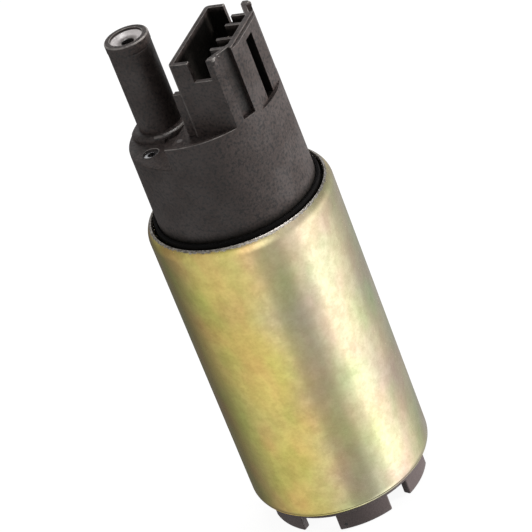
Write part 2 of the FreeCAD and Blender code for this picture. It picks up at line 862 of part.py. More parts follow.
def build():
    parts = {
        "can": can(),
        "top_cover": top_cover(),
        "cover_seal": cover_seal(),
        "outlet_insert": outlet_insert(),
        "check_valve_poppet": check_valve_poppet(),
        "check_valve_washer": cylinder(washer_radius, washer_bottom, poppet_bottom, tube_offset),
        "check_valve_spring": coil(
            check_spring_radius, check_spring_wire, poppet_top + spring_rest, insert_bottom - spring_rest,
            check_spring_turns, tube_offset, 0,
        ),
        "relief_ball": Part.makeSphere(relief_ball_radius, Vector(*relief_place, relief_ball_height)),
        "relief_spring": coil(
            relief_spring_radius, relief_spring_wire, relief_spring_bottom, relief_ring_bottom - spring_rest,
            relief_spring_turns, *relief_place,
        ),
        "relief_ring": ring(
            relief_bore_radius - press, relief_ring_bore, relief_ring_bottom, relief_ring_top, *relief_place
        ),
        "upper_bush": ring(
            bush_radius, shaft_radius + shaft_play, hub_mouth, hub_mouth + upper_bush_length - slip
        ),
        "lower_bush": ring(
            bush_radius, shaft_radius + shaft_play, cavity_top + bush_shoulder, casing_hub_top - slip
        ),
        "magnet_front": magnet(0.0),
        "magnet_rear": magnet(180.0),
        "shaft": shaft(),
        "armature_core": armature_core(),
        "armature_windings": armature_windings(),
        "commutator_base": ring(
            commutator_radius, shaft_radius + press, commutator_bottom, segment_bottom
        ),
        "commutator_segments": commutator_segments(),
        "impeller": impeller(),
        "pump_casing": pump_casing(),
        "inlet_cover": inlet_cover(),
        "thrust_pad": cylinder(
            thrust_pad_radius, thrust_pocket_floor, thrust_pocket_floor + thrust_pad_thickness
        ),
    }
    for name, side in (("left", -1), ("right", 1)):
        middle = side * brush_pitch
        parts["magnet_clip_" + name] = magnet_clip(side * 90.0)
        parts["terminal_" + name] = terminal(side)
        parts["choke_core_" + name] = cylinder(choke_radius, choke_bottom, tab_bottom, choke_x, middle)
        parts["choke_coil_" + name] = coil(
            choke_coil_radius, choke_coil_wire, choke_coil_bottom,
            choke_coil_bottom + choke_coil_turns * choke_coil_pitch + 2 * choke_coil_wire,
            choke_coil_turns, choke_x, middle, 180.0,
        )
        parts["choke_link_" + name] = choke_link(side)
        parts["brush_" + name] = block(
            (-brush_width / 2, brush_width / 2),
            (middle - brush_depth / 2, middle + brush_depth / 2),
            (brush_bottom, brush_top),
        )
        parts["brush_spring_" + name] = coil(
            brush_spring_radius, brush_spring_wire, brush_top + spring_rest, spring_seat - spring_rest,
            brush_spring_turns, 0, middle,
        )
        parts["brush_lead_" + name] = cylinder(
            lead_radius, brush_top + spring_rest, lead_height - lead_radius - spring_rest, 0, middle
        )
    return parts


os.makedirs("parts", exist_ok=True)
for node, shape in build().items():
    shape.exportStep(os.path.join("parts", node + ".step"))
    print(node, "solids", len(shape.Solids), "valid", shape.isValid(), "volume", round(shape.Volume, 1))
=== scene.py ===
import json
import math
import bmesh
import bpy
from mathutils import Matrix, Vector


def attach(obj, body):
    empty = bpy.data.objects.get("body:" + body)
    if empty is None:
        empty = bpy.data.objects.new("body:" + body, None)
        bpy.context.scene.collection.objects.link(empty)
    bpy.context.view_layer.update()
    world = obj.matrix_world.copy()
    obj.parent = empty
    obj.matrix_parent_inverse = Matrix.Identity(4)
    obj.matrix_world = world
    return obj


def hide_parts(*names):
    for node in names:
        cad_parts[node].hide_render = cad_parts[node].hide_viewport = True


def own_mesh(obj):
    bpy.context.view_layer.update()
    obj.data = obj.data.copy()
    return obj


# Looks of the fuel pump. Sizes are in millimetres, in the frame of the CAD model:
# z runs up the motor shaft from the feet, and +x points at the connector's flat back.

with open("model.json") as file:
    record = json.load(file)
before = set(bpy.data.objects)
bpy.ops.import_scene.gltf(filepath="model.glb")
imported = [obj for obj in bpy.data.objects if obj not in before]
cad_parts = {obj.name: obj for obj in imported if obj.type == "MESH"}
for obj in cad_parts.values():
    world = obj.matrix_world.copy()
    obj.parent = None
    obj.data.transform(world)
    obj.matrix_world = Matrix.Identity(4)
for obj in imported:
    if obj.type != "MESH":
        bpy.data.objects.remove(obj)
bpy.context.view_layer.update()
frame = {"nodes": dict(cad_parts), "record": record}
mm = 0.001
weld = 0.2          # how far joined shapes run into each other
over = 1.0          # how far a cutter runs past the face it opens
farOut = 20.0       # further out than anything on the pump
nearBy = 0.03       # how close an edge lies to the ring that picks it
doubles = 0.0005    # points closer than this are one
smallest = 0.001    # edges and faces smaller than this are closed up
cornerTurn = 1.2    # an edge that turns by more is a corner, in radians
canRadius = 19.0
print("frame loaded")

# Modelling moves that most pieces share


def deselectAll():
    active = bpy.context.view_layer.objects.active
    if active and active.mode != "OBJECT":
        bpy.ops.object.mode_set(mode="OBJECT")
    bpy.ops.object.select_all(action="DESELECT")


def choose(piece):
    deselectAll()
    piece.select_set(True)
    bpy.context.view_layer.objects.active = piece


def settle(name):
    # names the new primitive and puts its place into its mesh
    piece = bpy.context.view_layer.objects.active
    piece.name = name
    piece.data.name = name
    bpy.ops.object.transform_apply(location=True, rotation=True, scale=True)
    return piece


def pick(piece, kind, chosen):
    # goes into edit mode and selects the faces or edges that pass a test
    choose(piece)
    bpy.ops.object.mode_set(mode="EDIT")
    bpy.ops.mesh.select_mode(type=kind)
    bpy.ops.mesh.select_all(action="DESELECT")
    mesh = bmesh.from_edit_mesh(piece.data)
    mesh.normal_update()
    found = [item for item in {"FACE": mesh.faces, "EDGE": mesh.edges}[kind] if chosen(item)]
    for item in found:
        item.select_set(True)
    mesh.select_flush_mode()
    bmesh.update_edit_mesh(piece.data)
    return bool(found)


def closeUp(piece, merge):
    # merges doubles and turns the faces outwards
    choose(piece)
    bpy.ops.object.mode_set(mode="EDIT")
    bpy.ops.mesh.select_all(action="SELECT")
    bpy.ops.mesh.remove_doubles(threshold=merge * mm)
    bpy.ops.mesh.dissolve_degenerate(threshold=smallest * mm)
    bpy.ops.mesh.select_all(action="SELECT")
    bpy.ops.mesh.normals_make_consistent(inside=False)
    bpy.ops.object.mode_set(mode="OBJECT")


def atRing(height, radius=None, x=0.0, y=0.0):
    # test for an edge at one height, and on a circle if a radius is given
    def near(point):
        away = math.hypot(point.x - x, point.y - y)
        return abs(point.z - height) <= nearBy and (radius is None or abs(away - radius) <= nearBy)
    return lambda edge: all(near(vert.co / mm) for vert in edge.verts)


def spanOf(edge, axis):
    # the least and greatest place of an edge along an axis
    places = [vert.co[axis] / mm for vert in edge.verts]
    return min(places), max(places)


def isCorner(edge):
    return edge.calc_face_angle() > cornerTurn


def bevelEdges(piece, chosen, width, segments):
    if pick(piece, "EDGE", chosen):
        bpy.ops.mesh.bevel(offset=width * mm, segments=segments, affect="EDGES", clamp_overlap=False)
    bpy.ops.object.mode_set(mode="OBJECT")
    return piece


def addBar(name, radius, low, high, x=0.0, y=0.0, sides=96):
    # an upright round bar
    deselectAll()
    bpy.ops.mesh.primitive_cone_add(
        vertices=sides, radius1=radius * mm, radius2=radius * mm, depth=(high - low) * mm,
        location=(x * mm, y * mm, (low + high) / 2 * mm), end_fill_type="NGON",
    )
    return settle(name)


def addSlab(name, xSpan, ySpan, zSpan):
    spans = (xSpan, ySpan, zSpan)
    deselectAll()
    bpy.ops.mesh.primitive_cube_add(size=1, location=[(a + b) / 2 * mm for a, b in spans])
    bpy.context.view_layer.objects.active.scale = [abs(b - a) * mm for a, b in spans]
    return settle(name)


def addSector(name, inner, outer, start, end, low, high, steps=24):
    # a rectangle spun about the shaft's axis, angles in degrees; a negative spin turns towards +y
    turn = math.radians(start)
    middle = (inner + outer) / 2
    place = (middle * math.cos(turn) * mm, middle * math.sin(turn) * mm, (low + high) / 2 * mm)
    deselectAll()
    bpy.ops.mesh.primitive_plane_add(size=1, location=place, rotation=(math.pi / 2, 0, turn))
    bpy.context.view_layer.objects.active.scale = ((outer - inner) * mm, (high - low) * mm, 1)
    piece = settle(name)
    bpy.ops.object.mode_set(mode="EDIT")
    bpy.ops.mesh.select_all(action="SELECT")
    bpy.ops.mesh.spin(steps=steps, angle=math.radians(start - end), center=(0, 0, 0), axis=(0, 0, 1))
    bpy.ops.object.mode_set(mode="OBJECT")
    closeUp(piece, doubles)
    return piece


def turnPiece(piece, angle):
    # turns a piece about the shaft's axis, in degrees
    choose(piece)
    piece.rotation_euler = (0, 0, math.radians(angle))
    bpy.ops.object.transform_apply(location=False, rotation=True, scale=False)
    return piece


def copyPiece(piece, name, angle=0.0):
    copied = piece.copy()
    copied.data = piece.data.copy()
    copied.name = name
    copied.data.name = name
    bpy.context.scene.collection.objects.link(copied)
    return turnPiece(copied, angle)


def combine(piece, tools, operation):
    # adds, cuts or keeps what is common with the tools, which are used up
    for tool in tools:
        choose(piece)
        step = piece.modifiers.new("combine", "BOOLEAN")
        step.operation = operation
        step.object = tool
        step.solver = "EXACT"
        bpy.ops.object.modifier_apply(modifier=step.name)
        bpy.data.objects.remove(tool)
    return piece


def latheUp(name, rings, sides, x=0.0, closed=False):
    # a circle at the first (radius, height), extruded and scaled through the others
    deselectAll()
    radius, height = rings[0]
    fill = "NOTHING" if closed else "NGON"
    place = (x * mm, 0, height * mm)
    bpy.ops.mesh.primitive_circle_add(vertices=sides, radius=radius * mm, location=place, fill_type=fill)
    piece = settle(name)
    bpy.ops.object.mode_set(mode="EDIT")
    bpy.ops.mesh.select_mode(type="EDGE")
    bpy.ops.mesh.select_all(action="SELECT")
    extrude = bpy.ops.mesh.extrude_edges_move if closed else bpy.ops.mesh.extrude_region_move
    for nextRadius, nextHeight in rings[1:]:
        extrude(TRANSFORM_OT_translate={"value": (0, 0, (nextHeight - height) * mm)})
        factor = nextRadius / radius
        bpy.ops.transform.resize(value=(factor, factor, 1), center_override=(x * mm, 0, nextHeight * mm))
        radius, height = nextRadius, nextHeight
    if closed:
        bpy.ops.mesh.select_all(action="DESELECT")
        bpy.ops.mesh.select_non_manifold(extend=False)
        bpy.ops.mesh.bridge_edge_loops()
    bpy.ops.object.mode_set(mode="OBJECT")
    closeUp(piece, doubles)
    return piece


def onArc(centre, radius, angle):
    # (radius, height) on an arc of the profile, the angle in degrees from straight outwards
    turn = math.radians(angle)
    return centre[0] + radius * math.cos(turn), centre[1] + radius * math.sin(turn)


def arcRings(centre, radius, start, end, steps):
    return [onArc(centre, radius, start + (end - start) * step / steps) for step in range(steps + 1)]


def markRubbedAndHighlit(piece, *tests):
    # a share of rubbing and painted edge highlight for the faces that pass each test, as an attribute that
    # the finish reads
    marks = [0.0] * len(piece.data.polygons)
    for share, chosen in tests:
        pick(piece, "FACE", chosen)
        bpy.ops.object.mode_set(mode="OBJECT")
        marks = [share if face.select else mark for face, mark in zip(piece.data.polygons, marks)]
    piece.data.attributes.new("rubbed", "FLOAT", "FACE").data.foreach_set("value", marks)


def smooth(piece, angle=40.0):
    # smooth shading in which the large faces keep their own direction
    choose(piece)
    bpy.ops.object.shade_smooth_by_angle(angle=math.radians(angle))
    step = piece.modifiers.new("normals", "WEIGHTED_NORMAL")
    step.keep_sharp = True
    step.weight = 100    # the most that large faces can count
    bpy.ops.object.modifier_apply(modifier=step.name)
    return piece


def dress(piece, body, slotName, material, *nodes):
    # gives a finished piece its body, finish and the CAD nodes that it stands for
    piece.data.materials.clear()
    piece.data.materials.append(material)
    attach(piece, body)
    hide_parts(*nodes)


# Node groups that the finishes share


def newGroup(name, inputs, outputs):
    group = bpy.data.node_groups.new(name, "ShaderNodeTree")
    for label, kind, value in inputs:
        socket = group.interface.new_socket(label, in_out="INPUT", socket_type=kind)
        socket.default_value = value
    for label, kind in outputs:
        group.interface.new_socket(label, in_out="OUTPUT", socket_type=kind)
    return group, group.nodes.new("NodeGroupInput"), group.nodes.new("NodeGroupOutput")


def wire(tree, value, socket):
    # a plain value is set on the socket, and an output is linked to it
    if isinstance(value, bpy.types.NodeSocket):
        tree.links.new(value, socket)
    elif isinstance(value, tuple) and socket.type == "RGBA":
        socket.default_value = (*value, 1.0)
    else:
        socket.default_value = value


def feed(tree, node, **inputs):
    # sets or links the inputs of a node by their names
    for label, value in inputs.items():
        wire(tree, value, node.inputs[label.replace("_", " ")])
    return node


def addNode(tree, kind, settings=None, **inputs):
    node = tree.nodes.new(kind)
    for key, value in (settings or {}).items():
        setattr(node, key, value)
    return feed(tree, node, **inputs)


def objectPlace(tree, stretch=(1.0, 1.0, 1.0), turn=(0.0, 0.0, 0.0)):
    place = addNode(tree, "ShaderNodeTexCoord").outputs["Object"]
    return addNode(tree, "ShaderNodeMapping", Vector=place, Rotation=turn, Scale=stretch).outputs["Vector"]


def objectAxes(tree, turn=(0.0, 0.0, 0.0)):
    return addNode(tree, "ShaderNodeSeparateXYZ", Vector=objectPlace(tree, turn=turn)).outputs


def addNoise(tree, place, scale, detail=3.0, roughness=0.5):
    noise = addNode(tree, "ShaderNodeTexNoise", Vector=place, Scale=scale, Detail=detail, Roughness=roughness)
    return noise.outputs["Fac"]


def mapRange(tree, value, fromMin, fromMax, toMin=0.0, toMax=1.0, steps="SMOOTHSTEP"):
    return addNode(
        tree, "ShaderNodeMapRange", {"interpolation_type": steps}, Value=value,
        From_Min=fromMin, From_Max=fromMax, To_Min=toMin, To_Max=toMax,
    ).outputs["Result"]


def calculate(tree, operation, first, second=0.0):
    node = addNode(tree, "ShaderNodeMath", {"operation": operation})
    wire(tree, first, node.inputs[0])
    wire(tree, second, node.inputs[1])
    return node.outputs[0]


def plus(tree, first, second):
    return calculate(tree, "ADD", first, second)


def minus(tree, first, second):
    return calculate(tree, "SUBTRACT", first, second)


def times(tree, first, second):
    return calculate(tree, "MULTIPLY", first, second)


def mixColours(tree, share, first, second, blend="MIX"):
    node = addNode(tree, "ShaderNodeMix", {"data_type": "RGBA", "blend_type": blend})
    for value, index in ((share, 0), (first, 6), (second, 7)):
        wire(tree, value, node.inputs[index])
    return node.outputs[2]


def tintWith(tree, colour, tint, share=1.0):
    return mixColours(tree, share, colour, tint, "MULTIPLY")


def addRamp(tree, value, stops):
    # colours or greys at places along the ramp
    node = addNode(tree, "ShaderNodeValToRGB", Fac=value)
    ramp = node.color_ramp
    ramp.interpolation = "EASE"
    while len(ramp.elements) < len(stops):
        ramp.elements.new(1.0)
    for element, (place, colour) in zip(ramp.elements, stops):
        element.position = place
        element.color = (*colour, 1.0) if isinstance(colour, tuple) else (colour, colour, colour, 1.0)
    return node.outputs["Color"]


def makeToneDrift():
    # a slow change between two tones, with a fine speckle on it
    group, into, out = newGroup(
        "toneDrift",
        [("First", "NodeSocketColor", (0.5, 0.5, 0.5, 1)), ("Second", "NodeSocketColor", (0.4, 0.4, 0.4, 1)),
         ("Patches", "NodeSocketFloat", 120.0), ("Speckle", "NodeSocketFloat", 2500.0)],
        [("Colour", "NodeSocketColor"), ("Mask", "NodeSocketFloat")],
    )
    place = objectPlace(group)
    patches = addNoise(group, place, into.outputs["Patches"])
    speckle = addNoise(group, place, into.outputs["Speckle"], detail=2.0)
    mask = plus(group, mapRange(group, patches, fromMin=0.35, fromMax=0.65, toMax=0.6),
                mapRange(group, speckle, fromMin=0.3, fromMax=0.7, toMax=0.4))
    wire(group, mixColours(group, mask, into.outputs["First"], into.outputs["Second"]), out.inputs["Colour"])
    wire(group, mask, out.inputs["Mask"])
    return group


def makeGrain():
    # fine moulded or ground grain with slow waves under it, as a height
    group, into, out = newGroup(
        "grain",
        [("Grains", "NodeSocketFloat", 5000.0), ("Waves", "NodeSocketFloat", 300.0),
         ("Stretch", "NodeSocketVector", (1, 1, 1))],
        [("Height", "NodeSocketFloat")],
    )
    place = addNode(group, "ShaderNodeTexCoord").outputs["Object"]
    scaled = addNode(group, "ShaderNodeVectorMath", {"operation": "MULTIPLY"})
    wire(group, place, scaled.inputs[0])
    wire(group, into.outputs["Stretch"], scaled.inputs[1])
    grains = addNoise(group, scaled.outputs[0], into.outputs["Grains"], detail=3.0, roughness=0.6)
    waves = addNoise(group, scaled.outputs[0], into.outputs["Waves"], detail=1.0)
    halfWaves = times(group, waves, 0.5)
    wire(group, plus(group, grains, halfWaves), out.inputs["Height"])
    return group


def makeScuffs():
    # sparse thin marks from handling, in two directions
    group, into, out = newGroup(
        "scuffs",
        [("Length", "NodeSocketFloat", 60.0), ("Threshold", "NodeSocketFloat", 0.7)],
        [("Mask", "NodeSocketFloat")],
    )
    thin, fade, masks = (1.0, 14.0, 14.0), 0.06, []
    for turn in ((0.3, 0.2, 0.7), (1.1, 0.4, 2.3)):
        place = objectPlace(group, thin, turn)
        lines = addNoise(group, place, into.outputs["Length"], detail=4.0, roughness=0.7)
        end = plus(group, into.outputs["Threshold"], fade)
        masks.append(mapRange(group, lines, into.outputs["Threshold"], end))
    wire(group, calculate(group, "MAXIMUM", *masks), out.inputs["Mask"])
    return group


toneDrift, grain, scuffs = makeToneDrift(), makeGrain(), makeScuffs()


def useGroup(tree, group, **inputs):
    return addNode(tree, "ShaderNodeGroup", {"node_tree": group}, **inputs).outputs


def newMaterial(name):
    material = bpy.data.materials.new(name)
    material.use_nodes = True
    tree = material.node_tree
    return material, tree, tree.nodes["Principled BSDF"]


def addGrain(tree, shader, grains, strength, distance):
    height = useGroup(tree, grain, **grains)["Height"]
    bump = addNode(tree, "ShaderNodeBump", Height=height, Strength=strength, Distance=distance * mm)
    wire(tree, bump.outputs["Normal"], shader.inputs["Normal"])


# The can's yellow zinc plating

plating = {
    "gold": (0.79, 0.635, 0.205), "roughness": (0.18, 0.25),
    "grain": {"Grains": 4200.0, "Waves": 160.0, "Stretch": (1.0, 1.0, 0.5)}, "bump": (0.05, 0.02),
    # clouds that tint the plating: tint, size, turn, share
    "clouds": (
        ((1.06, 1.08, 1.02), 100.0, (0.3, 0.1, 0.2), 0.8),
        ((0.78, 0.97, 0.76), 120.0, (0.9, 0.4, 1.3), 0.68),
        ((1.04, 0.80, 0.95), 140.0, (1.7, 0.2, 2.4), 0.6),
        ((0.80, 0.93, 1.05), 90.0, (2.2, 0.5, 0.7), 0.5),
        ((0.88, 0.98, 0.90), 520.0, (0.5, 1.2, 0.1), 0.2),
        ((1.05, 0.93, 1.02), 640.0, (1.4, 0.8, 2.0), 0.2),
    ),
    "cloudStretch": (1.0, 1.0, 0.65), "cloudNoise": (1.5, 0.4), "cloudEdge": (0.40, 0.68),
    "speckle": {"First": (1.03, 1.03, 1.03), "Second": (0.84, 0.82, 0.79), "Patches": 500.0,
                "Speckle": 1600.0},
    # brightness near the lower lip, by height: painted shade in the crease above a painted highlight on the
    # lip's edge
    "crease": ((5.6, 1.25), (6.08, 1.25), (6.14, 0.22), (6.34, 0.22), (6.44, 1.0), (7.0, 1.0)),
    "brightest": 1.25,
    # one side is painted paler and less yellow, a painted highlight where the bright right of the tent is
    # mirrored: colour, direction, where it starts and is full, drift
    "pale": (0.67, 0.60, 0.39), "paleTowards": (0.969, -0.245), "paleEdge": (0.65, 1.17),
    "paleNoise": (60.0, 2.0), "paleDrift": 0.5,
    # the plating is worn off the upper lip, above an uneven line: noises with their depth, heights, share
    "wear": ((45.0, 1.0, 0.5, 1.1), (1300.0, 3.0, 0.7, 0.9)), "wearEdge": (72.42, 72.60), "wearShare": 0.95,
    "bare": (0.56, 0.53, 0.50), "scratched": (0.20, 0.18, 0.16), "scratchStretch": (1.0, 1.0, 3.0),
    "scratchNoise": (1500.0, 3.0, 0.7), "scratchEdge": (0.38, 0.62), "wearRoughness": 0.15,
}


def makePlatedSteel():
    look = plating
    material, tree, shader = newMaterial("platedSteel")
    axes = objectAxes(tree)
    # painted highlight: the side that mirrors the bright right of the tent is painted paler
    eastward, northward = (share / (canRadius * mm) for share in look["paleTowards"])
    facing = plus(tree, times(tree, axes["X"], eastward), times(tree, axes["Y"], northward))
    drift = times(tree, addNoise(tree, objectPlace(tree), *look["paleNoise"]), look["paleDrift"])
    litSideHighlight = mapRange(tree, plus(tree, facing, drift), *look["paleEdge"])
    colour = mixColours(tree, litSideHighlight, look["gold"], look["pale"])
    for tint, size, turn, share in look["clouds"]:
        cloud = addNoise(tree, objectPlace(tree, look["cloudStretch"], turn), size, *look["cloudNoise"])
        colour = tintWith(tree, colour, tint, mapRange(tree, cloud, *look["cloudEdge"], 0.0, share))
    # painted shade in the lower crease and a painted highlight on the lip below it
    low, high, brightest = look["crease"][0][0], look["crease"][-1][0], look["brightest"]
    climb = mapRange(tree, axes["Z"], low * mm, high * mm, steps="LINEAR")
    stops = [((height - low) / (high - low), bright / brightest) for height, bright in look["crease"]]
    crease = tintWith(tree, addRamp(tree, climb, stops), (brightest, brightest, brightest))
    colour = tintWith(tree, colour, crease)
    speckle = useGroup(tree, toneDrift, **look["speckle"])
    colour = tintWith(tree, colour, speckle["Colour"])
    worn = axes["Z"]
    for size, detail, roughness, depth in look["wear"]:
        uneven = addNoise(tree, objectPlace(tree), size, detail, roughness)
        worn = plus(tree, worn, times(tree, uneven, depth * mm))
    low, high = look["wearEdge"]
    worn = mapRange(tree, worn, low * mm, high * mm, 0.0, look["wearShare"])
    scratches = addNoise(tree, objectPlace(tree, look["scratchStretch"]), *look["scratchNoise"])
    scratches = mapRange(tree, scratches, *look["scratchEdge"])
    colour = mixColours(tree, worn, colour, mixColours(tree, scratches, look["scratched"], look["bare"]))
    rough = mapRange(tree, speckle["Mask"], 0.0, 1.0, *look["roughness"])
    rough = plus(tree, rough, times(tree, worn, look["wearRoughness"]))
    feed(tree, shader, Base_Color=colour, Metallic=1.0, Roughness=rough)
    addGrain(tree, shader, look["grain"], *look["bump"])
    return material


# The glass-filled black plastic of both covers

blackMoulding = {
    "tones": {"First": (0.062, 0.0475, 0.0435), "Second": (0.038, 0.0285, 0.0255), "Patches": 180.0,
              "Speckle": 1500.0},
    "roughness": (0.40, 0.60), "specular": 0.46,
    "grain": {"Grains": 1700.0, "Waves": 240.0}, "bump": (0.8, 0.07),
    # glass fibres and the sand look of the mould: noise, then where it shows
    "fibre": (0.078, 0.061, 0.057), "fibreNoise": (1500.0, 2.0, 0.6), "fibreEdge": (0.50, 0.70, 0.0, 0.6),
    "sand": ((0.32, (0.22, 0.23, 0.24)), (0.50, (0.76, 0.76, 0.76)), (0.68, (1.0, 0.97, 0.96))),
    "sandTurn": (0.4, 1.1, 0.2), "sandNoise": (1900.0, 1.0, 0.5),
    "scuffed": (0.075, 0.064, 0.060), "scuffs": {"Length": 45.0, "Threshold": 0.70}, "scuffShare": 0.4,
    # edges lightened by rubbing and by a painted highlight, on the faces marked so
    "rubbed": (0.35, 0.32, 0.30), "rubNoise": (500.0, 3.0), "rubEdge": (0.3, 0.65, 0.25, 0.9),
    "rubPolish": 0.2,
    "feet": (0.125, 0.098, 0.095), "feetEdge": (6.0, 4.5), "feetShare": 0.8,
    # a gate mark lightened as a painted highlight, and a pinhole painted black as its shade: centre, radius,
    # colour, share
    "spots": (
        ((-0.39, -11.35, 92.6), 0.7, (0.16, 0.145, 0.14), 0.9),
        ((4.89, -15.87, 1.25), 0.42, (0.004, 0.004, 0.004), 0.95),
    ),
    "spotFade": 0.7,
    # painted shade in the hollows and where parts meet: share, and where each starts and is full along x, z,
    # the distance aside from the middle, and the directions out of (slant) and across the grooves at the
    # socket's corners
    "grimy": (
        (1.0, (("z", 108.0, 107.2), ("x", 3.60, 3.64), ("x", 13.25, 13.21), ("aside", 9.70, 9.66),
               ("slant", 13.96, 13.92), ("z", 92.90, 92.95))),    # inside the socket
        (1.0, (("aside", 1.55, 1.52), ("x", 13.0, 13.1), ("x", 15.08, 14.9), ("z", 93.4, 93.5),
               ("z", 107.0, 106.9))),    # slot in its back
        (0.45, (("slant", 14.72, 14.78), ("slant", 14.92, 14.86), ("across", 1.50, 1.46),
                ("z", 94.3, 95.5))),    # corner grooves
        (1.0, (("z", 74.6, 72.2), ("z", 69.0, 69.3))),    # painted shade at the foot of the neck, beside the seal
    ),
    "grooveTurn": (0.868, 0.497),    # cosine and sine of the grooves' angle
    "grime": (0.006, 0.006, 0.005), "grimeShare": 0.85, "grimeMatt": 0.8,
}


def makeBlackPlastic():
    look = blackMoulding
    material, tree, shader = newMaterial("blackPlastic")
    tone = useGroup(tree, toneDrift, **look["tones"])
    fibres = mapRange(tree, addNoise(tree, objectPlace(tree), *look["fibreNoise"]), *look["fibreEdge"])
    colour = mixColours(tree, fibres, tone["Colour"], look["fibre"])
    sand = addNoise(tree, objectPlace(tree, turn=look["sandTurn"]), *look["sandNoise"])
    colour = tintWith(tree, colour, addRamp(tree, sand, look["sand"]))
    marks = times(tree, useGroup(tree, scuffs, **look["scuffs"])["Mask"], look["scuffShare"])
    colour = mixColours(tree, marks, colour, look["scuffed"])
    axes = objectAxes(tree)
    aside = calculate(tree, "ABSOLUTE", axes["Y"])
    cosine, sine = look["grooveTurn"]
    slant = plus(tree, times(tree, axes["X"], cosine), times(tree, aside, sine))
    across = minus(tree, times(tree, aside, cosine), times(tree, axes["X"], sine))
    places = {"x": axes["X"], "z": axes["Z"], "aside": aside, "slant": slant,
              "across": calculate(tree, "ABSOLUTE", across)}
    # painted shade: how dark each hollow or join is painted, the greatest of the places below
    paintedShade = 0.0
    for share, limits in look["grimy"]:
        for place, start, end in limits:
            share = times(tree, share, mapRange(tree, places[place], start * mm, end * mm))
        paintedShade = calculate(tree, "MAXIMUM", paintedShade, share)
    top, bottom = look["feetEdge"]
    feet = mapRange(tree, axes["Z"], top * mm, bottom * mm, 0.0, look["feetShare"])
    colour = mixColours(tree, feet, colour, look["feet"])
    # painted highlight on the gate mark and painted shade in the pinhole
    for centre, radius, tint, share in look["spots"]:
        away = addNode(tree, "ShaderNodeVectorMath", {"operation": "DISTANCE"})
        wire(tree, objectPlace(tree), away.inputs[0])
        wire(tree, [value * mm for value in centre], away.inputs[1])
        inner = look["spotFade"] * radius * mm
        inSpot = mapRange(tree, away.outputs["Value"], radius * mm, inner, 0.0, share)
        colour = mixColours(tree, inSpot, colour, tint)
    # painted shade darkens the socket's inside, its back slot, the corner grooves and the neck's foot, and
    # lowers their sheen
    colour = mixColours(tree, times(tree, paintedShade, look["grimeShare"]), colour, look["grime"])
    edges = addNode(tree, "ShaderNodeAttribute", {"attribute_name": "rubbed"}).outputs["Fac"]
    uneven = mapRange(tree, addNoise(tree, objectPlace(tree), *look["rubNoise"]), *look["rubEdge"])
    # rubbing and a painted highlight lighten the marked edges
    colour = mixColours(tree, times(tree, edges, uneven), colour, look["rubbed"])
    rough = mapRange(tree, tone["Mask"], 0.0, 1.0, *look["roughness"])
    rough = minus(tree, rough, times(tree, edges, look["rubPolish"]))
    level = times(tree, minus(tree, 1.0, times(tree, paintedShade, look["grimeMatt"])), look["specular"])
    feed(tree, shader, Base_Color=colour, Roughness=rough, Specular_IOR_Level=level)
    addGrain(tree, shader, look["grain"], *look["bump"])
    return material


# The pale insert, with painted shade in its funnel and its bore

paleInsert = {
    "tones": {"First": (0.94, 0.88, 0.87), "Second": (0.82, 0.77, 0.76), "Patches": 400.0, "Speckle": 3000.0},
    "axis": -9.754, "roughness": (0.25, 0.4), "specular": 0.9,
    # painted shade: a grey ring down the funnel and a near-black bore
    "stained": (0.30, 0.27, 0.26), "stainEdge": (1.6, 2.4),
    "bore": (0.020, 0.018, 0.017), "boreEdge": (1.15, 1.5),
    "grain": {"Grains": 2200.0, "Waves": 300.0}, "bump": (0.2, 0.03),
}


def makePaleInsert():
    look = paleInsert
    material, tree, shader = newMaterial("palePlastic")
    tone = useGroup(tree, toneDrift, **look["tones"])
    axes = objectAxes(tree)
    aside = minus(tree, axes["X"], look["axis"] * mm)
    away = plus(tree, times(tree, aside, aside), times(tree, axes["Y"], axes["Y"]))
    away = times(tree, calculate(tree, "SQRT", away), 1 / mm)
    # painted shade darkens the funnel and the bore towards the tube's axis
    colour = mixColours(tree, mapRange(tree, away, *look["stainEdge"]), look["stained"], tone["Colour"])
    colour = mixColours(tree, mapRange(tree, away, *look["boreEdge"]), look["bore"], colour)
    rough = mapRange(tree, tone["Mask"], 0.0, 1.0, *look["roughness"])
    feed(tree, shader, Base_Color=colour, Roughness=rough, Specular_IOR_Level=look["specular"])
    addGrain(tree, shader, look["grain"], *look["bump"])
    return material


# All other finishes: two tones, metallic, least and greatest roughness, grain size and depth

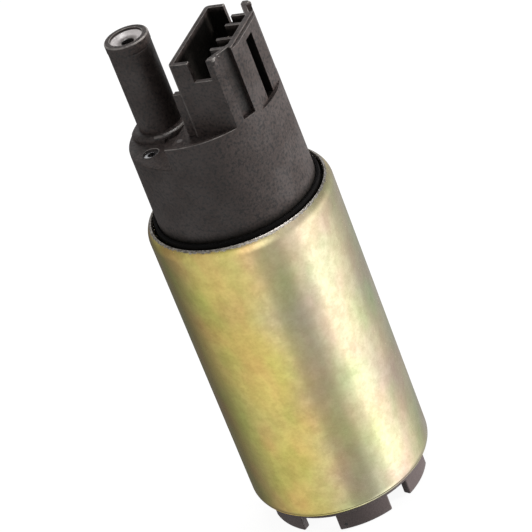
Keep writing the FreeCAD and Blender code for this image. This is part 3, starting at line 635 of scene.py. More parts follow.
finishes = {
    "seal_rubber": ((0.005, 0.005, 0.005), (0.008, 0.007, 0.007), 0.0, (0.7, 0.85), 2500.0, 0.3),
    "valve_rubber": ((0.020, 0.018, 0.017), (0.035, 0.030, 0.028), 0.0, (0.5, 0.7), 2500.0, 0.3),
    "natural_plastic": ((0.50, 0.47, 0.45), (0.36, 0.34, 0.33), 0.0, (0.35, 0.5), 2200.0, 0.2),
    "impeller_plastic": ((0.10, 0.075, 0.05), (0.14, 0.10, 0.07), 0.0, (0.4, 0.55), 2600.0, 0.3),
    "tinned_brass": ((0.66, 0.60, 0.48), (0.52, 0.47, 0.38), 1.0, (0.25, 0.4), 3000.0, 0.15),
    "copper": ((0.76, 0.38, 0.24), (0.62, 0.29, 0.18), 1.0, (0.22, 0.4), 3200.0, 0.15),
    "enamelled_copper": ((0.50, 0.16, 0.06), (0.38, 0.11, 0.04), 0.6, (0.18, 0.3), 1800.0, 0.1),
    "winding": ((0.52, 0.18, 0.07), (0.34, 0.10, 0.04), 0.6, (0.2, 0.4), 1500.0, 0.5),
    "sintered_bronze": ((0.45, 0.30, 0.16), (0.32, 0.21, 0.11), 0.9, (0.45, 0.65), 2400.0, 0.5),
    "ferrite": ((0.045, 0.043, 0.046), (0.07, 0.067, 0.07), 0.0, (0.5, 0.7), 2600.0, 0.5),
    "magnet_ferrite": ((0.05, 0.05, 0.055), (0.075, 0.073, 0.077), 0.1, (0.5, 0.7), 1800.0, 0.5),
    "brush_carbon": ((0.03, 0.03, 0.031), (0.055, 0.052, 0.05), 0.3, (0.35, 0.55), 3200.0, 0.4),
    "spring_steel": ((0.42, 0.42, 0.43), (0.33, 0.33, 0.35), 1.0, (0.22, 0.35), 3000.0, 0.1),
    "shaft_steel": ((0.60, 0.60, 0.61), (0.48, 0.48, 0.50), 1.0, (0.12, 0.25), 3600.0, 0.1),
    "lamination": ((0.38, 0.38, 0.40), (0.26, 0.26, 0.28), 1.0, (0.3, 0.5), 2200.0, 0.3),
    "resin": ((0.10, 0.045, 0.025), (0.07, 0.03, 0.018), 0.0, (0.4, 0.55), 2600.0, 0.3),
    "cast_aluminium": ((0.55, 0.55, 0.56), (0.42, 0.42, 0.43), 0.9, (0.35, 0.5), 1600.0, 0.5),
}
speculars = {"seal_rubber": 0.08, "valve_rubber": 0.3}
stretches = {"lamination": (0.05, 0.05, 1.0), "shaft_steel": (1.0, 1.0, 12.0), "winding": (0.3, 0.3, 0.08)}
finishCommon = {
    "mottle": {"Patches": 260.0, "Speckle": 3000.0}, "scuffs": {"Length": 80.0, "Threshold": 0.7},
    "scuffShare": 0.4, "scuffBright": 1.6, "waves": 300.0, "bumpDepth": 0.03, "specular": 0.5,
}


def makeFinish(name):
    first, second, metallic, roughness, grains, strength = finishes[name]
    common = finishCommon
    material, tree, shader = newMaterial(name)
    tone = useGroup(tree, toneDrift, First=first, Second=second, **common["mottle"])
    marks = times(tree, useGroup(tree, scuffs, **common["scuffs"])["Mask"], common["scuffShare"])
    scuffed = tuple(min(1.0, channel * common["scuffBright"]) for channel in first)
    feed(
        tree, shader, Base_Color=mixColours(tree, marks, tone["Colour"], scuffed), Metallic=metallic,
        Roughness=mapRange(tree, tone["Mask"], 0.0, 1.0, *roughness),
        Specular_IOR_Level=speculars.get(name, common["specular"]),
    )
    ground = {"Grains": grains, "Waves": common["waves"], "Stretch": stretches.get(name, (1.0, 1.0, 1.0))}
    addGrain(tree, shader, ground, strength, common["bumpDepth"])
    return material


materials = {name: makeFinish(name) for name in finishes}
materials["plated_steel"] = makePlatedSteel()
materials["black_plastic"] = makeBlackPlastic()
palePlastic = makePaleInsert()
slotOf = {subpart["node"]: subpart["material_slot"] for subpart in frame["record"]["subparts"]}
for nodeName, slotName in slotOf.items():
    slots = frame["nodes"][nodeName].data.materials
    slots.clear()
    slots.append(materials[slotName])
print("finishes made:", len(materials))

# Can: a drawn tube rolled in over the covers at both ends

canSizes = {
    "wall": 1.0, "topRoll": 3.14, "topAngle": 52.8, "topCentre": (15.86, 69.399),
    "bottomRoll": 2.93, "bottomAngle": -40.4, "bottomCentre": (16.07, 7.499),
    "creaseAngle": -25.0, "creaseHalf": 5.0, "creaseGap": 1.5, "creaseDepth": 0.28,
    "crease": ((-1.0, 0.0), (-0.35, 1.0), (0.35, 1.0), (1.0, 0.0)),    # shares of its half width and depth
    "lipEdge": 0.14, "steps": 12, "sides": 256,
}


def makeCan():
    size = canSizes
    low, lowRoll = size["bottomCentre"], size["bottomRoll"]
    high, highRoll = size["topCentre"], size["topRoll"]
    angle, half, gap, wall = size["creaseAngle"], size["creaseHalf"], size["creaseGap"], size["wall"]
    rings = arcRings(low, lowRoll, size["bottomAngle"], angle - half - gap, 4)
    rings += [onArc(low, lowRoll - depth * size["creaseDepth"], angle + along * half)
              for along, depth in size["crease"]]
    rings += arcRings(low, lowRoll, angle + half + gap, 0, 6)
    rise = (high[1] - low[1]) / size["steps"]
    rings += [(canRadius, low[1] + step * rise) for step in range(1, size["steps"])]
    rings += arcRings(high, highRoll, 0, size["topAngle"], 14)
    rings += arcRings(high, highRoll - wall, size["topAngle"], 0, 8)
    rings += arcRings(low, lowRoll - wall, 0, size["bottomAngle"], 6)
    can = latheUp("canShell", rings, size["sides"], closed=True)
    for centre, roll, lip in ((high, highRoll, size["topAngle"]), (low, lowRoll, size["bottomAngle"])):
        for arc in (roll, roll - wall):
            radius, height = onArc(centre, arc, lip)
            bevelEdges(can, atRing(height, radius), size["lipEdge"], 2)
    return smooth(can)


dress(makeCan(), "housing", "plated_steel", materials["plated_steel"], "can")
print("can made")

# Ring seal between the cover's neck and the rolled lip

sealSizes = {"inner": 16.254, "outer": 16.974, "low": 69.349, "high": 72.45, "round": 0.15, "sides": 192}


def makeSeal():
    size = sealSizes
    rings = [(size["outer"], size["low"]), (size["outer"], size["high"]), (size["inner"], size["high"]),
             (size["inner"], size["low"])]
    seal = latheUp("coverSeal", rings, size["sides"], closed=True)
    bevelEdges(seal, atRing(size["high"]), size["round"], 4)
    return smooth(seal)


dress(makeSeal(), "housing", "seal_rubber", materials["seal_rubber"], "cover_seal")
print("seal made")

# Top cover: flange, drafted neck, two decks, outlet tube, relief valve and connector

neckSizes = {
    "flangeRadius": 17.95, "flangeLow": 60.049, "flangeHigh": 69.349, "radius": 16.204, "topRadius": 15.804,
    "lowDeck": 89.3, "lowDeckEdge": 0.5, "highStart": -1.5, "highRim": 93.7, "highDeck": 92.6,
    "rimHollow": 15.155, "sides": 192, "edge": 0.13, "merge": 0.005, "capInset": 0.01,
    "rings": (71.0, 74.5, 78.0, 82.0, 86.0, 88.5, 91.5, 95.0, 99.0, 103.0, 106.5),
}
tubeSizes = {
    "x": -9.754, "radius": 4.35, "top": 109.9, "edge": 0.4, "bore": 3.25, "seat": 91.6, "passage": 2.0,
    "mouthEdge": 0.15, "bossRadius": 6.1, "bossTop": 90.6, "bossEdge": 0.9, "bossInset": 0.15, "sides": 128,
    # (radius, height) up the tube: straight, a fine groove, and the slightly wider head
    "rings": ((4.35, 92.0), (4.35, 98.0), (4.35, 104.0), (4.35, 107.45), (4.33, 107.55), (4.27, 107.625),
              (4.27, 107.725), (4.38, 107.9), (4.43, 108.15), (4.43, 109.9)),
    "padX": (-8.754, -6.554), "padY": (-6.35, -5.05), "padTop": 90.0,
}
reliefSizes = {
    "x": -8.65, "y": -9.25, "bore": 1.6, "seat": 81.5, "hole": 0.9, "bottom": 80.0, "bossRadius": 2.85,
    "mouthEdge": 0.12, "limitRadius": 16.0, "limit": (79.0, 88.0),
}
socketSizes = {
    "left": 2.7, "back": 15.104, "half": 10.6, "corner": 0.9, "wall": 0.95, "backInner": 13.204,
    "floor": 93.0, "ledge": 93.6, "rim": 108.4, "slotHalf": 1.5, "slotTop": 106.7, "open": 22.0,
    "panelX": 14.354, "panelTop": 108.1,
    "notchX": (6.904, 10.504), "notchLow": 104.3, "notchFlare": 0.15, "cornerX": 13.904,
    "nubX": (10.704, 12.404), "nubRadius": 0.82, "nubY": 9.8, "nubZ": 107.8, "nubRound": 0.4,
    "nubSides": 32,
    "ribX": 9.854, "ribY": (2.5, 5.9), "ribThickness": 0.8, "ribTop": 108.25,
    "grooveAngle": 29.8, "grooveX": 14.804, "grooveHalf": 1.45, "grooveLow": 94.4,
    "buttressX": 1.1, "buttressY": (8.65, 10.05), "buttressTop": 101.8,
}
insideSizes = {
    "skirtRadius": 16.0, "skirtTop": 68.05, "chamber": 14.404, "lowRoof": 87.0, "highRoom": 0.5,
    "highRoof": 91.0, "hubRadius": 5.0, "hubLow": 64.3, "bushRadius": 3.55, "bushTop": 70.8,
    "coreRadius": 2.4, "coreTop": 85.0, "brushY": 8.0, "brushDepth": 2.35, "brushWidth": 2.85,
    "tunnelWall": 1.0, "tunnelLow": 64.0, "springSeat": 84.5, "channel": (85.2, 86.6), "channelHalf": 0.7,
    "bladeX": (7.784, 8.624), "bladeY": (2.78, 5.62),
}
onLevel = 0.05    # how close a point is to a level that it lies on
beside = 0.1      # how far past a limit a point still counts


def neckRadiusAt(height):
    size = neckSizes
    share = (height - size["flangeHigh"]) / (socketSizes["rim"] - size["flangeHigh"])
    return size["radius"] + (size["topRadius"] - size["radius"]) * share


def mirrored(span, side):
    return sorted(side * value for value in span)


def connectorColumn(low, high):
    # the room that the connector keeps, open towards its back, with two rounded corners
    size = socketSizes
    column = addSlab("column", (size["left"], size["open"]), (-size["half"], size["half"]), (low, high))

    def leftCorner(edge):
        bottom, top = spanOf(edge, 2)
        return top - bottom > beside and spanOf(edge, 0)[1] < size["left"] + beside

    return bevelEdges(column, leftCorner, size["corner"], 6)


def makeNeck():
    # the whole drafted bar, then all that stands beside the connector is cut away
    size = neckSizes
    reach = size["flangeRadius"] + over
    top = socketSizes["rim"] + over
    heights = (size["flangeHigh"], *size["rings"], socketSizes["rim"])
    neck = latheUp("topCover", [
        (size["flangeRadius"], size["flangeLow"]), (size["flangeRadius"], size["flangeHigh"]),
        *[(neckRadiusAt(height), height) for height in heights],
    ], size["sides"])
    # the low deck is cut too deep, and a cap with a rounded edge brings it back
    deck, edge = size["lowDeck"], size["lowDeckEdge"]
    lowSide = addSlab("lowSide", (-reach, size["highStart"]), (-reach, reach), (deck - over, top))
    rim = neckRadiusAt(deck) - edge - size["capInset"]
    cap = latheUp("cap", [
        (rim + edge, deck - over - weld), (rim + edge, deck - edge - weld),
        *arcRings((rim, deck - edge), edge, 0, 90, 6),
    ], size["sides"])
    highHalf = addSlab("highHalf", (size["highStart"] + weld, reach), (-reach, reach), (deck - 2 * over, top))
    combine(cap, [highHalf], "DIFFERENCE")
    aboveDeck = addSlab("aboveDeck", (-reach, reach), (-reach, reach), (size["highRim"], top))
    combine(aboveDeck, [connectorColumn(size["highRim"] - over, top + over)], "DIFFERENCE")
    low, high = size["highDeck"], size["highRim"]
    hollow = addBar("hollow", size["rimHollow"], low, high + over, sides=size["sides"])
    combine(hollow, [connectorColumn(low - over, high + 2 * over)], "DIFFERENCE")
    back = addSlab("back", (socketSizes["back"], reach), (-reach, reach), (socketSizes["ledge"], top))
    combine(neck, [lowSide, aboveDeck, hollow, back], "DIFFERENCE")
    return combine(neck, [cap], "UNION")


def connectorCuts():
    size = socketSizes
    top = size["rim"] + over
    left, half = size["left"] + size["wall"], size["half"] - size["wall"]
    reach = neckSizes["radius"]
    cavity = addSlab("cavity", (left, size["backInner"]), (-half, half), (size["floor"], top))
    for side in (-1, 1):
        corner = addSlab("corner", (size["cornerX"], 2 * farOut), (-farOut, farOut),
                         (size["floor"] - over, top + over))
        combine(cavity, [turnPiece(corner, side * size["grooveAngle"])], "DIFFERENCE")
    cuts = [
        cavity,
        addSlab("panelStep", (size["panelX"], reach), (-half, half), (size["panelTop"], top)),
        addSlab("slot", (size["backInner"] - over, reach), (-size["slotHalf"], size["slotHalf"]),
                (size["ledge"], size["slotTop"])),
    ]
    for side in (-1, 1):
        wallSpan = mirrored((half - over, size["half"] + over), side)
        notch = addSlab("notch", size["notchX"], wallSpan, (size["notchLow"], top))
        pick(notch, "FACE", lambda face: round(face.normal.z) == 1)
        width = size["notchX"][1] - size["notchX"][0]
        bpy.ops.transform.resize(value=((width + 2 * size["notchFlare"]) / width, 1, 1))
        bpy.ops.object.mode_set(mode="OBJECT")
        groove = addSlab("groove", (size["grooveX"], reach + over), (-size["grooveHalf"], size["grooveHalf"]),
                         (size["grooveLow"], top))
        cuts += [notch, turnPiece(groove, side * size["grooveAngle"])]
    return cuts


def connectorDetails():
    # keying ribs, nubs on the rim and a buttress at each front corner
    size = socketSizes
    details = []

    def notAtFoot(edge):
        return spanOf(edge, 2)[1] > size["floor"] + over

    half = size["ribThickness"] / 2
    for side in (-1, 1):
        for rib in size["ribY"]:
            ySpan = (side * rib - half, side * rib + half)
            rib = addSlab("rib", (size["ribX"], size["backInner"] + weld), ySpan,
                          (size["floor"] - weld, size["ribTop"]))
            details.append(bevelEdges(rib, notAtFoot, neckSizes["edge"], 2))
        left, right = size["nubX"]
        deselectAll()
        bpy.ops.mesh.primitive_cylinder_add(
            vertices=size["nubSides"], radius=size["nubRadius"] * mm, depth=(right - left) * mm,
            location=((left + right) / 2 * mm, side * size["nubY"] * mm, size["nubZ"] * mm),
            rotation=(0, math.pi / 2, 0),
        )
        details.append(bevelEdges(settle("nub"), isCorner, size["nubRound"], 4))
        ySpan = mirrored(size["buttressY"], side)
        buttress = addSlab("buttress", (size["buttressX"], size["left"] + weld), ySpan,
                           (neckSizes["highDeck"] - weld, size["buttressTop"]))
        details.append(bevelEdges(buttress, notAtFoot, neckSizes["edge"], 2))
    return details


def makeOutlet():
    # boss, tube and the small pad beside them, with their top edges rounded
    size = tubeSizes
    low, top = neckSizes["lowDeck"] - weld, size["bossTop"]
    boss = addBar("boss", size["bossRadius"], low, top, size["x"], sides=size["sides"])
    limit = neckRadiusAt(neckSizes["lowDeck"]) - neckSizes["lowDeckEdge"] - size["bossInset"]
    combine(boss, [addBar("deckLimit", limit, low - over, top + over, sides=neckSizes["sides"])], "INTERSECT")
    bevelEdges(boss, lambda edge: atRing(top)(edge) and isCorner(edge), size["bossEdge"], 5)
    tube = latheUp("tube", [(size["radius"], low - weld), *size["rings"]], size["sides"], size["x"])
    bevelEdges(tube, atRing(size["top"]), size["edge"], 5)
    pad = addSlab("pad", size["padX"], size["padY"], (low, size["padTop"]))
    return [boss, tube, pad]


def insideWork(cover):
    # what the can and the decks hide: skirt, chamber, hub, brush tunnels and bores
    size, relief, tube = insideSizes, reliefSizes, tubeSizes
    low = neckSizes["flangeLow"] - over
    chamber = addBar("chamber", size["chamber"], low, size["highRoof"], sides=neckSizes["sides"])
    lowHalf = addSlab("lowHalf", (-farOut, size["highRoom"]), (-farOut, farOut),
                      (size["lowRoof"], size["highRoof"] + over))
    combine(chamber, [lowHalf], "DIFFERENCE")
    skirt = addBar("skirtRoom", size["skirtRadius"], low, size["skirtTop"], sides=neckSizes["sides"])
    combine(cover, [skirt, chamber], "DIFFERENCE")
    walls = [addBar("hub", size["hubRadius"], size["hubLow"], size["lowRoof"] + weld)]
    x, y, bottom = relief["x"], relief["y"], relief["bottom"]
    reliefBoss = addBar("reliefBoss", relief["bossRadius"], bottom, size["lowRoof"] + weld, x, y)
    limit = addBar("reliefLimit", relief["limitRadius"], *relief["limit"], sides=neckSizes["sides"])
    walls.append(combine(reliefBoss, [limit], "INTERSECT"))
    cuts = [
        addBar("bushBore", size["bushRadius"], size["hubLow"] - over, size["bushTop"]),
        addBar("coreBore", size["coreRadius"], size["hubLow"], size["coreTop"]),
        addBar("reliefHole", relief["hole"], bottom - over, relief["seat"] + weld, x, y),
        addBar("passage", tube["passage"], size["lowRoof"] - over, tube["seat"] + weld, tube["x"]),
    ]
    depth, width, wall, hole = size["brushDepth"], size["brushWidth"], size["tunnelWall"], size["channelHalf"]
    for side in (-1, 1):
        middle, reach = side * size["brushY"], width + wall
        walls.append(addSlab("tunnel", (-reach, reach), (middle - depth - wall, middle + depth + wall),
                             (size["tunnelLow"], size["lowRoof"] + weld)))
        cuts += [
            addSlab("brushRoom", (-width, width), (middle - depth, middle + depth),
                    (size["tunnelLow"] - over, size["springSeat"])),
            addBar("leadHole", hole, size["springSeat"] - over, size["channel"][0] + weld, 0, middle, 48),
            addSlab("leadChannel", (-hole, reach + over), (middle - hole, middle + hole), size["channel"]),
            addSlab("bladeRoom", size["bladeX"], mirrored(size["bladeY"], side),
                    (size["highRoof"] - over, socketSizes["floor"] + weld)),
        ]
    combine(cover, walls, "UNION")
    combine(cover, cuts, "DIFFERENCE")


# Which edges of the cover are rounded, and which faces are lightened as rubbed edges with a painted highlight

coverEdges = {
    # rounded: the least turn in degrees, then how short and at what cosines the edges at its ends may be
    "leastTurn": 50.0, "short": 0.2, "narrow": 0.8, "straightOn": -0.9,
    "ribAside": (7.0, 6.5), "ribClear": 0.3, "nubClear": 0.5, "nubLow": 106.6, "nubAside": 8.4,
    # rubbed and painted highlight: how far up a face looks, its greatest width and least turn, and the places
    # left out
    "facing": (0.3, 0.97), "thin": 0.3, "bent": 0.2, "groove": (107.2, 108.4, -4.0),
    "boss": (89.4, 90.7), "farBoss": (-8.8, 90.3), "reliefClear": 0.3, "panel": 12.9,
    "corner": (2.6, 3.7), "cornerAside": 9.6, "upright": 0.1, "turned": 0.3,
    "shares": (1.0, 0.4, 0.3),    # of the outer edges, those at the panel, and the socket's corners
}


def clearOfOthers(edge):
    # at its ends no short edge turns off and no edge runs back at a narrow angle
    test = coverEdges
    for vert in edge.verts:
        along = (edge.other_vert(vert).co - vert.co).normalized()
        for other in vert.link_edges:
            if other == edge:
                continue
            away = other.other_vert(vert).co - vert.co
            turn = away.normalized().dot(along)
            if turn > test["narrow"] or (away.length < test["short"] * mm and turn > test["straightOn"]):
                return False
    return True


def onDetail(edge):
    # ribs, buttresses and nubs have their rounded edges already
    size, test = socketSizes, coverEdges
    (low, high), (bottom, top) = spanOf(edge, 0), spanOf(edge, 2)
    aside = min(abs(vert.co.y) for vert in edge.verts) / mm
    onRib = low > size["ribX"] - beside
    rib = aside < test["ribAside"][0] and bottom < size["ribTop"] - test["ribClear"]
    ribEnd = aside < test["ribAside"][1] and high < size["cornerX"] and top < size["ribTop"] + onLevel
    left, right = size["nubX"]
    atNub = low > left - beside and high < right + test["nubClear"]
    nub = atNub and top > test["nubLow"] and aside > test["nubAside"]
    buttress = high < size["left"] - beside and aside < size["half"]
    return buttress or (onRib and (rib or ribEnd)) or nub


def openEdge(edge):
    if not (edge.is_manifold and edge.is_convex):
        return False
    if edge.calc_face_angle() < math.radians(coverEdges["leastTurn"]):
        return False
    lowest, tube = spanOf(edge, 2)[0], tubeSizes
    if abs(lowest - socketSizes["ledge"]) < onLevel or not clearOfOthers(edge):
        return False
    points = [vert.co / mm for vert in edge.verts]
    onTube = all(math.hypot(point.x - tube["x"], point.y) < tube["bossRadius"] + beside for point in points)
    inChamber = all(point.xy.length < insideSizes["chamber"] + beside and point.x > 0 for point in points)
    inside = lowest < insideSizes["highRoof"] + beside and inChamber
    return lowest > neckSizes["lowDeck"] + onLevel and not onTube and not inside and not onDetail(edge)


def outerEdge(face):
    # a thin face on an outer edge that looks partly up
    test, relief = coverEdges, reliefSizes
    if not test["facing"][0] < face.normal.z < test["facing"][1]:
        return False
    x, y, z = face.calc_center_median() / mm
    low, high, left = test["groove"]
    onGroove = low < z < high and x < left
    low, high = test["boss"]
    farBoss = low < z < high and (x < test["farBoss"][0] or z < test["farBoss"][1])
    lowRim = z < low and math.hypot(x - relief["x"], y - relief["y"]) > relief["bore"] + test["reliefClear"]
    if onGroove or farBoss or lowRim:
        return False
    if face.calc_area() / max(edge.calc_length() for edge in face.edges) > test["thin"] * mm:
        return False
    return any(edge.is_manifold and edge.calc_face_angle_signed() > test["bent"] for edge in face.edges)


def panelEdge(face):
    return outerEdge(face) and face.calc_center_median().x > coverEdges["panel"] * mm


def socketCorner(face):
    test = coverEdges
    x, y, z = face.calc_center_median() / mm
    upright = abs(face.normal.z) < test["upright"]
    turned = face.normal.x < -test["turned"] and abs(face.normal.y) > test["turned"]
    low, high = test["corner"]
    atCorner = low < x < high and abs(y) > test["cornerAside"] and z > neckSizes["highDeck"]
    return upright and turned and atCorner


def makeCover():
    cover = combine(makeNeck(), connectorCuts(), "DIFFERENCE")
    combine(cover, [*makeOutlet(), *connectorDetails()], "UNION")
    tube, relief, deck = tubeSizes, reliefSizes, neckSizes["lowDeck"]
    combine(cover, [
        addBar("tubeBore", tube["bore"], tube["seat"], tube["top"] + over, tube["x"]),
        addBar("reliefBore", relief["bore"], relief["seat"], deck + over, relief["x"], relief["y"], sides=64),
    ], "DIFFERENCE")
    insideWork(cover)
    closeUp(cover, neckSizes["merge"])
    bevelEdges(cover, atRing(tube["top"], tube["bore"], tube["x"]), tube["mouthEdge"], 3)
    bevelEdges(cover, atRing(deck, relief["bore"], relief["x"], relief["y"]), relief["mouthEdge"], 3)
    bevelEdges(cover, openEdge, neckSizes["edge"], 2)
    markRubbedAndHighlit(cover, *zip(coverEdges["shares"], (outerEdge, panelEdge, socketCorner)))
    return smooth(cover)


dress(makeCover(), "housing", "black_plastic", materials["black_plastic"], "top_cover")
print("top cover made")

# Pale insert in the outlet's mouth

insertSizes = {
    "bore": 1.8, "outer": 3.23, "low": 101.5, "high": 109.4, "mouth": 2.95,
    "throat": 1.2, "throatHigh": 108.7, "throatLow": 107.7, "widening": 0.6,
    "flare": ((0.15, 0.35), (0.4, 0.65), (0.7, 0.88), (1.0, 1.0)),    # shares of the narrowing and the fall
    "edge": 0.15, "mouthEdge": 0.06, "sides": 96, "smoothAngle": 50.0,
}


def makeInsert():
    size = insertSizes
    fall, narrow = size["high"] - size["throatHigh"], size["mouth"] - size["throat"]
    rings = [(size["outer"], size["low"]), (size["outer"], size["high"]), (size["mouth"], size["high"])]
    rings += [(size["mouth"] - narrow * share, size["high"] - fall * drop) for share, drop in size["flare"]]
    rings += [(size["throat"], size["throatLow"]), (size["bore"], size["throatLow"] - size["widening"])]
    rings += [(size["bore"], size["low"])]
    insert = latheUp("outletInsert", rings, size["sides"], tubeSizes["x"], closed=True)
    bevelEdges(insert, atRing(size["throatHigh"]), size["edge"], 3)
    bevelEdges(insert, atRing(size["high"], size["mouth"], tubeSizes["x"]), size["mouthEdge"], 2)
    return smooth(insert, size["smoothAngle"])


dress(makeInsert(), "housing", "natural_plastic", palePlastic, "outlet_insert")
print("outlet insert made")

# Inlet cover with its feet

inletSizes = {
    "plateRadius": 17.4, "plateLow": 4.3, "step": 7.549, "flangeRadius": 17.95, "top": 10.5,
    "plateEdge": 0.25, "sides": 192, "merge": 0.002, "bore": 2.8, "pitch": 11.9,
    "lugOuter": 16.6, "lugThickness": 1.7, "lugAngles": ((-78.2, -38.2), (-20.7, 13.8)), "repeats": 3,
    "footEdge": 0.35, "lugEdge": 0.3, "pocket": 2.45, "pocketLow": 8.0,
    "channel": (11.5, 14.7), "channelDepth": 1.3, "channelStart": -160.0, "channelSweep": 290.0,
}


def makeInlet():
    size = inletSizes
    inlet = latheUp("inletCover", [
        (size["plateRadius"], size["plateLow"]), (size["plateRadius"], size["step"]),
        (size["flangeRadius"], size["step"]), (size["flangeRadius"], size["top"]),
    ], size["sides"])
    bevelEdges(inlet, atRing(size["plateLow"]), size["plateEdge"], 3)

    def level(edge):
        low, high = spanOf(edge, 2)
        return high - low < beside

    lugs = []
    inner, outer, repeats = size["lugOuter"] - size["lugThickness"], size["lugOuter"], size["repeats"]
    for start, end in size["lugAngles"]:
        lug = addSector("lug", inner, outer, start, end, 0.0, size["plateLow"] + weld)
        bevelEdges(lug, lambda edge: isCorner(edge) and not level(edge), size["lugEdge"], 3)
        bevelEdges(lug, lambda edge: isCorner(edge) and atRing(0.0)(edge), size["footEdge"], 4)
        lugs += [copyPiece(lug, "lugCopy", 360.0 * turn / repeats) for turn in range(1, repeats)]
        lugs.append(lug)
    combine(inlet, lugs, "UNION")
    turn = math.radians(size["channelStart"])
    combine(inlet, [
        addSector("flow", *size["channel"], size["channelStart"], size["channelStart"] + size["channelSweep"],
                  size["top"] - size["channelDepth"], size["top"] + over, 96),
        addBar("inletBore", size["bore"], size["plateLow"] - over, size["top"] + over,
               size["pitch"] * math.cos(turn), size["pitch"] * math.sin(turn)),
        addBar("pocket", size["pocket"], size["pocketLow"], size["top"] + over),
    ], "DIFFERENCE")
    closeUp(inlet, size["merge"])
    return smooth(inlet)


dress(makeInlet(), "housing", "black_plastic", materials["black_plastic"], "inlet_cover")
print("inlet cover made")

# Springs and leads: smoothed copies of the solids, listed with the lift and stroke of the piece below them

springStrokes = {
    "check_valve_spring": ("check_valve_lift", 2.0), "relief_spring": ("relief_valve_lift", 1.0),
    "brush_spring_left": ("brush_left_lift", 3.0), "brush_spring_right": ("brush_right_lift", 3.0),
    "brush_lead_left": ("brush_left_lift", 3.0), "brush_lead_right": ("brush_right_lift", 3.0),
}


def makeSpring(nodeName):
    choose(frame["nodes"][nodeName])
    bpy.ops.object.duplicate()
    spring = bpy.context.view_layer.objects.active
    for key in list(spring.keys()):
        del spring[key]
    first, *others = nodeName.split("_")
    spring.name = spring.data.name = first + "".join(word.capitalize() for word in others)
    closeUp(spring, doubles)
    smooth(spring)
    dress(spring, "housing", slotOf[nodeName], materials[slotOf[nodeName]], nodeName)
    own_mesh(spring)


for nodeName, (joint, stroke) in springStrokes.items():
    makeSpring(nodeName)
print("springs and leads done")

# Camera at the photo's angle

viewpoint = {
    "azimuth": 30.8, "elevation": 30.55345, "roll": -21.6791, "right": -4.28636, "up": 11.4547,
    "distance": 563.905, "aimHeight": 40.6, "focal": 2829.911, "imageSize": 532, "sensor": 36.0,
    "nearest": 10.0,
}


def makeCamera():
    view = viewpoint
    azimuth, elevation, roll = (math.radians(view[key]) for key in ("azimuth", "elevation", "roll"))
    level = Vector((math.cos(azimuth), math.sin(azimuth), 0))
    back = Vector((math.sin(azimuth), -math.cos(azimuth), 0)) * math.cos(elevation)
    back.z = math.sin(elevation)
    upright = back.cross(level)
    right = math.cos(roll) * level + math.sin(roll) * upright
    up = math.cos(roll) * upright - math.sin(roll) * level
    place = view["distance"] * back + view["right"] * right + view["up"] * up
    place.z += view["aimHeight"]
    deselectAll()
    bpy.ops.object.camera_add()
    camera = bpy.context.view_layer.objects.active
    camera.name = "photoCamera"
    turn = Matrix((right, up, back)).transposed().to_4x4()
    camera.matrix_world = Matrix.Translation(place * mm) @ turn
    camera.data.lens = view["focal"] / view["imageSize"] * view["sensor"]
    camera.data.sensor_width = view["sensor"]
    camera.data.clip_start = view["nearest"] * mm
    bpy.context.scene.camera = camera


def whereSeen(tree):
    # 1 for rays that see the surroundings, directly, mirrored or through glass
    path = addNode(tree, "ShaderNodeLightPath").outputs
    mirrored = calculate(tree, "MAXIMUM", path["Is Camera Ray"], path["Is Glossy Ray"])
    return calculate(tree, "MAXIMUM", mirrored, path["Is Transmission Ray"])


# White paper under the pump

paperLook = {
    "size": 8.0, "height": -0.2, "glow": 0.93, "fibres": (40.0, 2.0), "roughness": 0.9,
    "first": (0.16, 0.16, 0.16), "second": (0.1584, 0.1584, 0.1584),
}


def makeFloor():
    look = paperLook
    deselectAll()
    bpy.ops.mesh.primitive_plane_add(size=look["size"], location=(0, 0, look["height"] * mm))
    floor = settle("paperFloor")
    floor.visible_glossy = False
    material, tree, shader = newMaterial("whitePaper")
    fibres = addNoise(tree, objectPlace(tree), *look["fibres"])
    feed(
        tree, shader, Base_Color=mixColours(tree, fibres, look["first"], look["second"]),
        Roughness=look["roughness"], Specular_IOR_Level=0.0, Emission_Color=(1.0, 1.0, 1.0),
        Emission_Strength=times(tree, whereSeen(tree), look["glow"]),
    )
    floor.data.materials.append(material)


# A paper tent round the pump, lighter at two sides, that only reflections see

tentLook = {
    "radius": 1.2, "glow": 8.0,
    # brightness by degrees from the camera, lowest first, with the heights over which each takes over
    "lowest": ((-180, 0.12), (-140, 0.15), (-120, 0.28), (-100, 0.50), (-80, 0.70), (-50, 0.85), (-14, 0.92),
               (-2, 0.55), (20, 0.55), (40, 1.1), (58, 2.0), (80, 1.65), (100, 1.1), (120, 0.65), (140, 0.52),
               (180, 0.35)),
    "belts": (
        (-0.30, 0.42, ((-180, 0.8), (-120, 0.30), (-60, 0.75), (-30, 0.9), (-12, 1.5), (6, 1.5), (25, 0.85),
                       (60, 0.9), (120, 0.4), (180, 0.8))),
        (0.60, 0.90, ((-180, 0.3), (-90, 0.2), (-40, 0.45), (10, 0.7), (50, 0.9), (100, 0.7), (140, 0.4),
                      (180, 0.3))),
        (1.08, 1.128, ((-180, 1.0), (-90, 0.4), (-20, 0.8), (40, 3.5), (90, 7.5), (150, 7.5), (180, 5.0))),
    ),
}


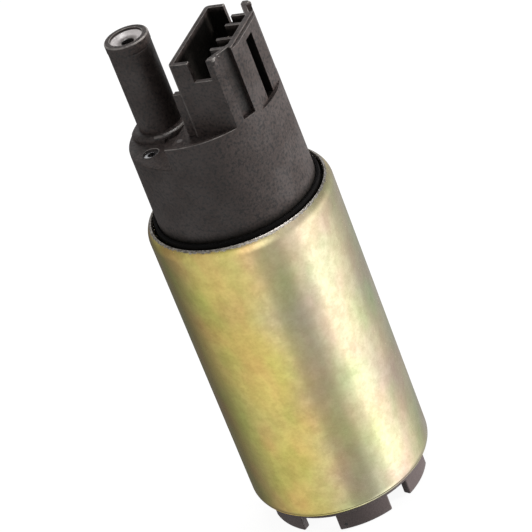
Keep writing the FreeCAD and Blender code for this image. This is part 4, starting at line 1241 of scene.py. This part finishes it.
def makeTent():
    look = tentLook
    deselectAll()
    bpy.ops.mesh.primitive_uv_sphere_add(segments=64, ring_count=32, radius=look["radius"])
    tent = settle("paperTent")
    for path in ("camera", "diffuse", "shadow", "transmission", "volume_scatter"):
        setattr(tent, "visible_" + path, False)
    material, tree, shader = newMaterial("tentPaper")
    tree.nodes.remove(shader)
    axes = objectAxes(tree, (0, 0, math.radians(-viewpoint["azimuth"])))
    angle = calculate(tree, "ARCTAN2", axes["X"], times(tree, axes["Y"], -1.0))
    share = plus(tree, calculate(tree, "DIVIDE", angle, 2 * math.pi), 0.5)

    def greys(table):
        stops = [((degrees + 180) / 360, value / look["glow"]) for degrees, value in table]
        return addRamp(tree, share, stops)

    bright = greys(look["lowest"])
    for low, high, table in look["belts"]:
        bright = mixColours(tree, mapRange(tree, axes["Z"], low, high), bright, greys(table))
    glow = addNode(tree, "ShaderNodeEmission", Color=bright, Strength=look["glow"])
    wire(tree, glow.outputs[0], tree.nodes["Material Output"].inputs["Surface"])
    material.cycles.emission_sampling = "NONE"
    tent.data.materials.append(material)


# Plain light from all round, white wherever it is seen, and three soft lamps

lightLook = {
    "plain": 0.27, "aimHeight": 0.05,
    # name, azimuth from the camera, height, distance, size, power
    "lamps": (
        ("rightLamp", 82.0, 0.12, 0.75, 0.2, 8.3),
        ("topLamp", 150.0, 0.90, 0.25, 0.4, 2.6),
        ("leftLamp", -65.0, 0.20, 0.80, 0.4, 1.2),
    ),
}


def makeWorld():
    world = bpy.data.worlds.new("room")
    bpy.context.scene.world = world
    world.use_nodes = True
    tree = world.node_tree
    strength = mapRange(tree, whereSeen(tree), 0.0, 1.0, lightLook["plain"], 1.0)
    feed(tree, tree.nodes["Background"], Color=(1.0, 1.0, 1.0), Strength=strength)


def addLamps():
    aim = Vector((0, 0, lightLook["aimHeight"]))
    for name, azimuth, height, distance, size, power in lightLook["lamps"]:
        turn = math.radians(viewpoint["azimuth"] + azimuth)
        place = Vector((distance * math.sin(turn), -distance * math.cos(turn), height))
        deselectAll()
        bpy.ops.object.light_add(type="AREA", location=place)
        lamp = bpy.context.view_layer.objects.active
        lamp.name = name
        lamp.data.shape = "DISK"
        lamp.data.size = size
        lamp.data.energy = power
        lamp.rotation_euler = (aim - place).to_track_quat("-Z", "Y").to_euler()
        lamp.visible_glossy = False


makeFloor()
makeTent()
makeWorld()
addLamps()
makeCamera()
bpy.context.scene.view_settings.view_transform = "Standard"
print("studio ready")

deselectAll()
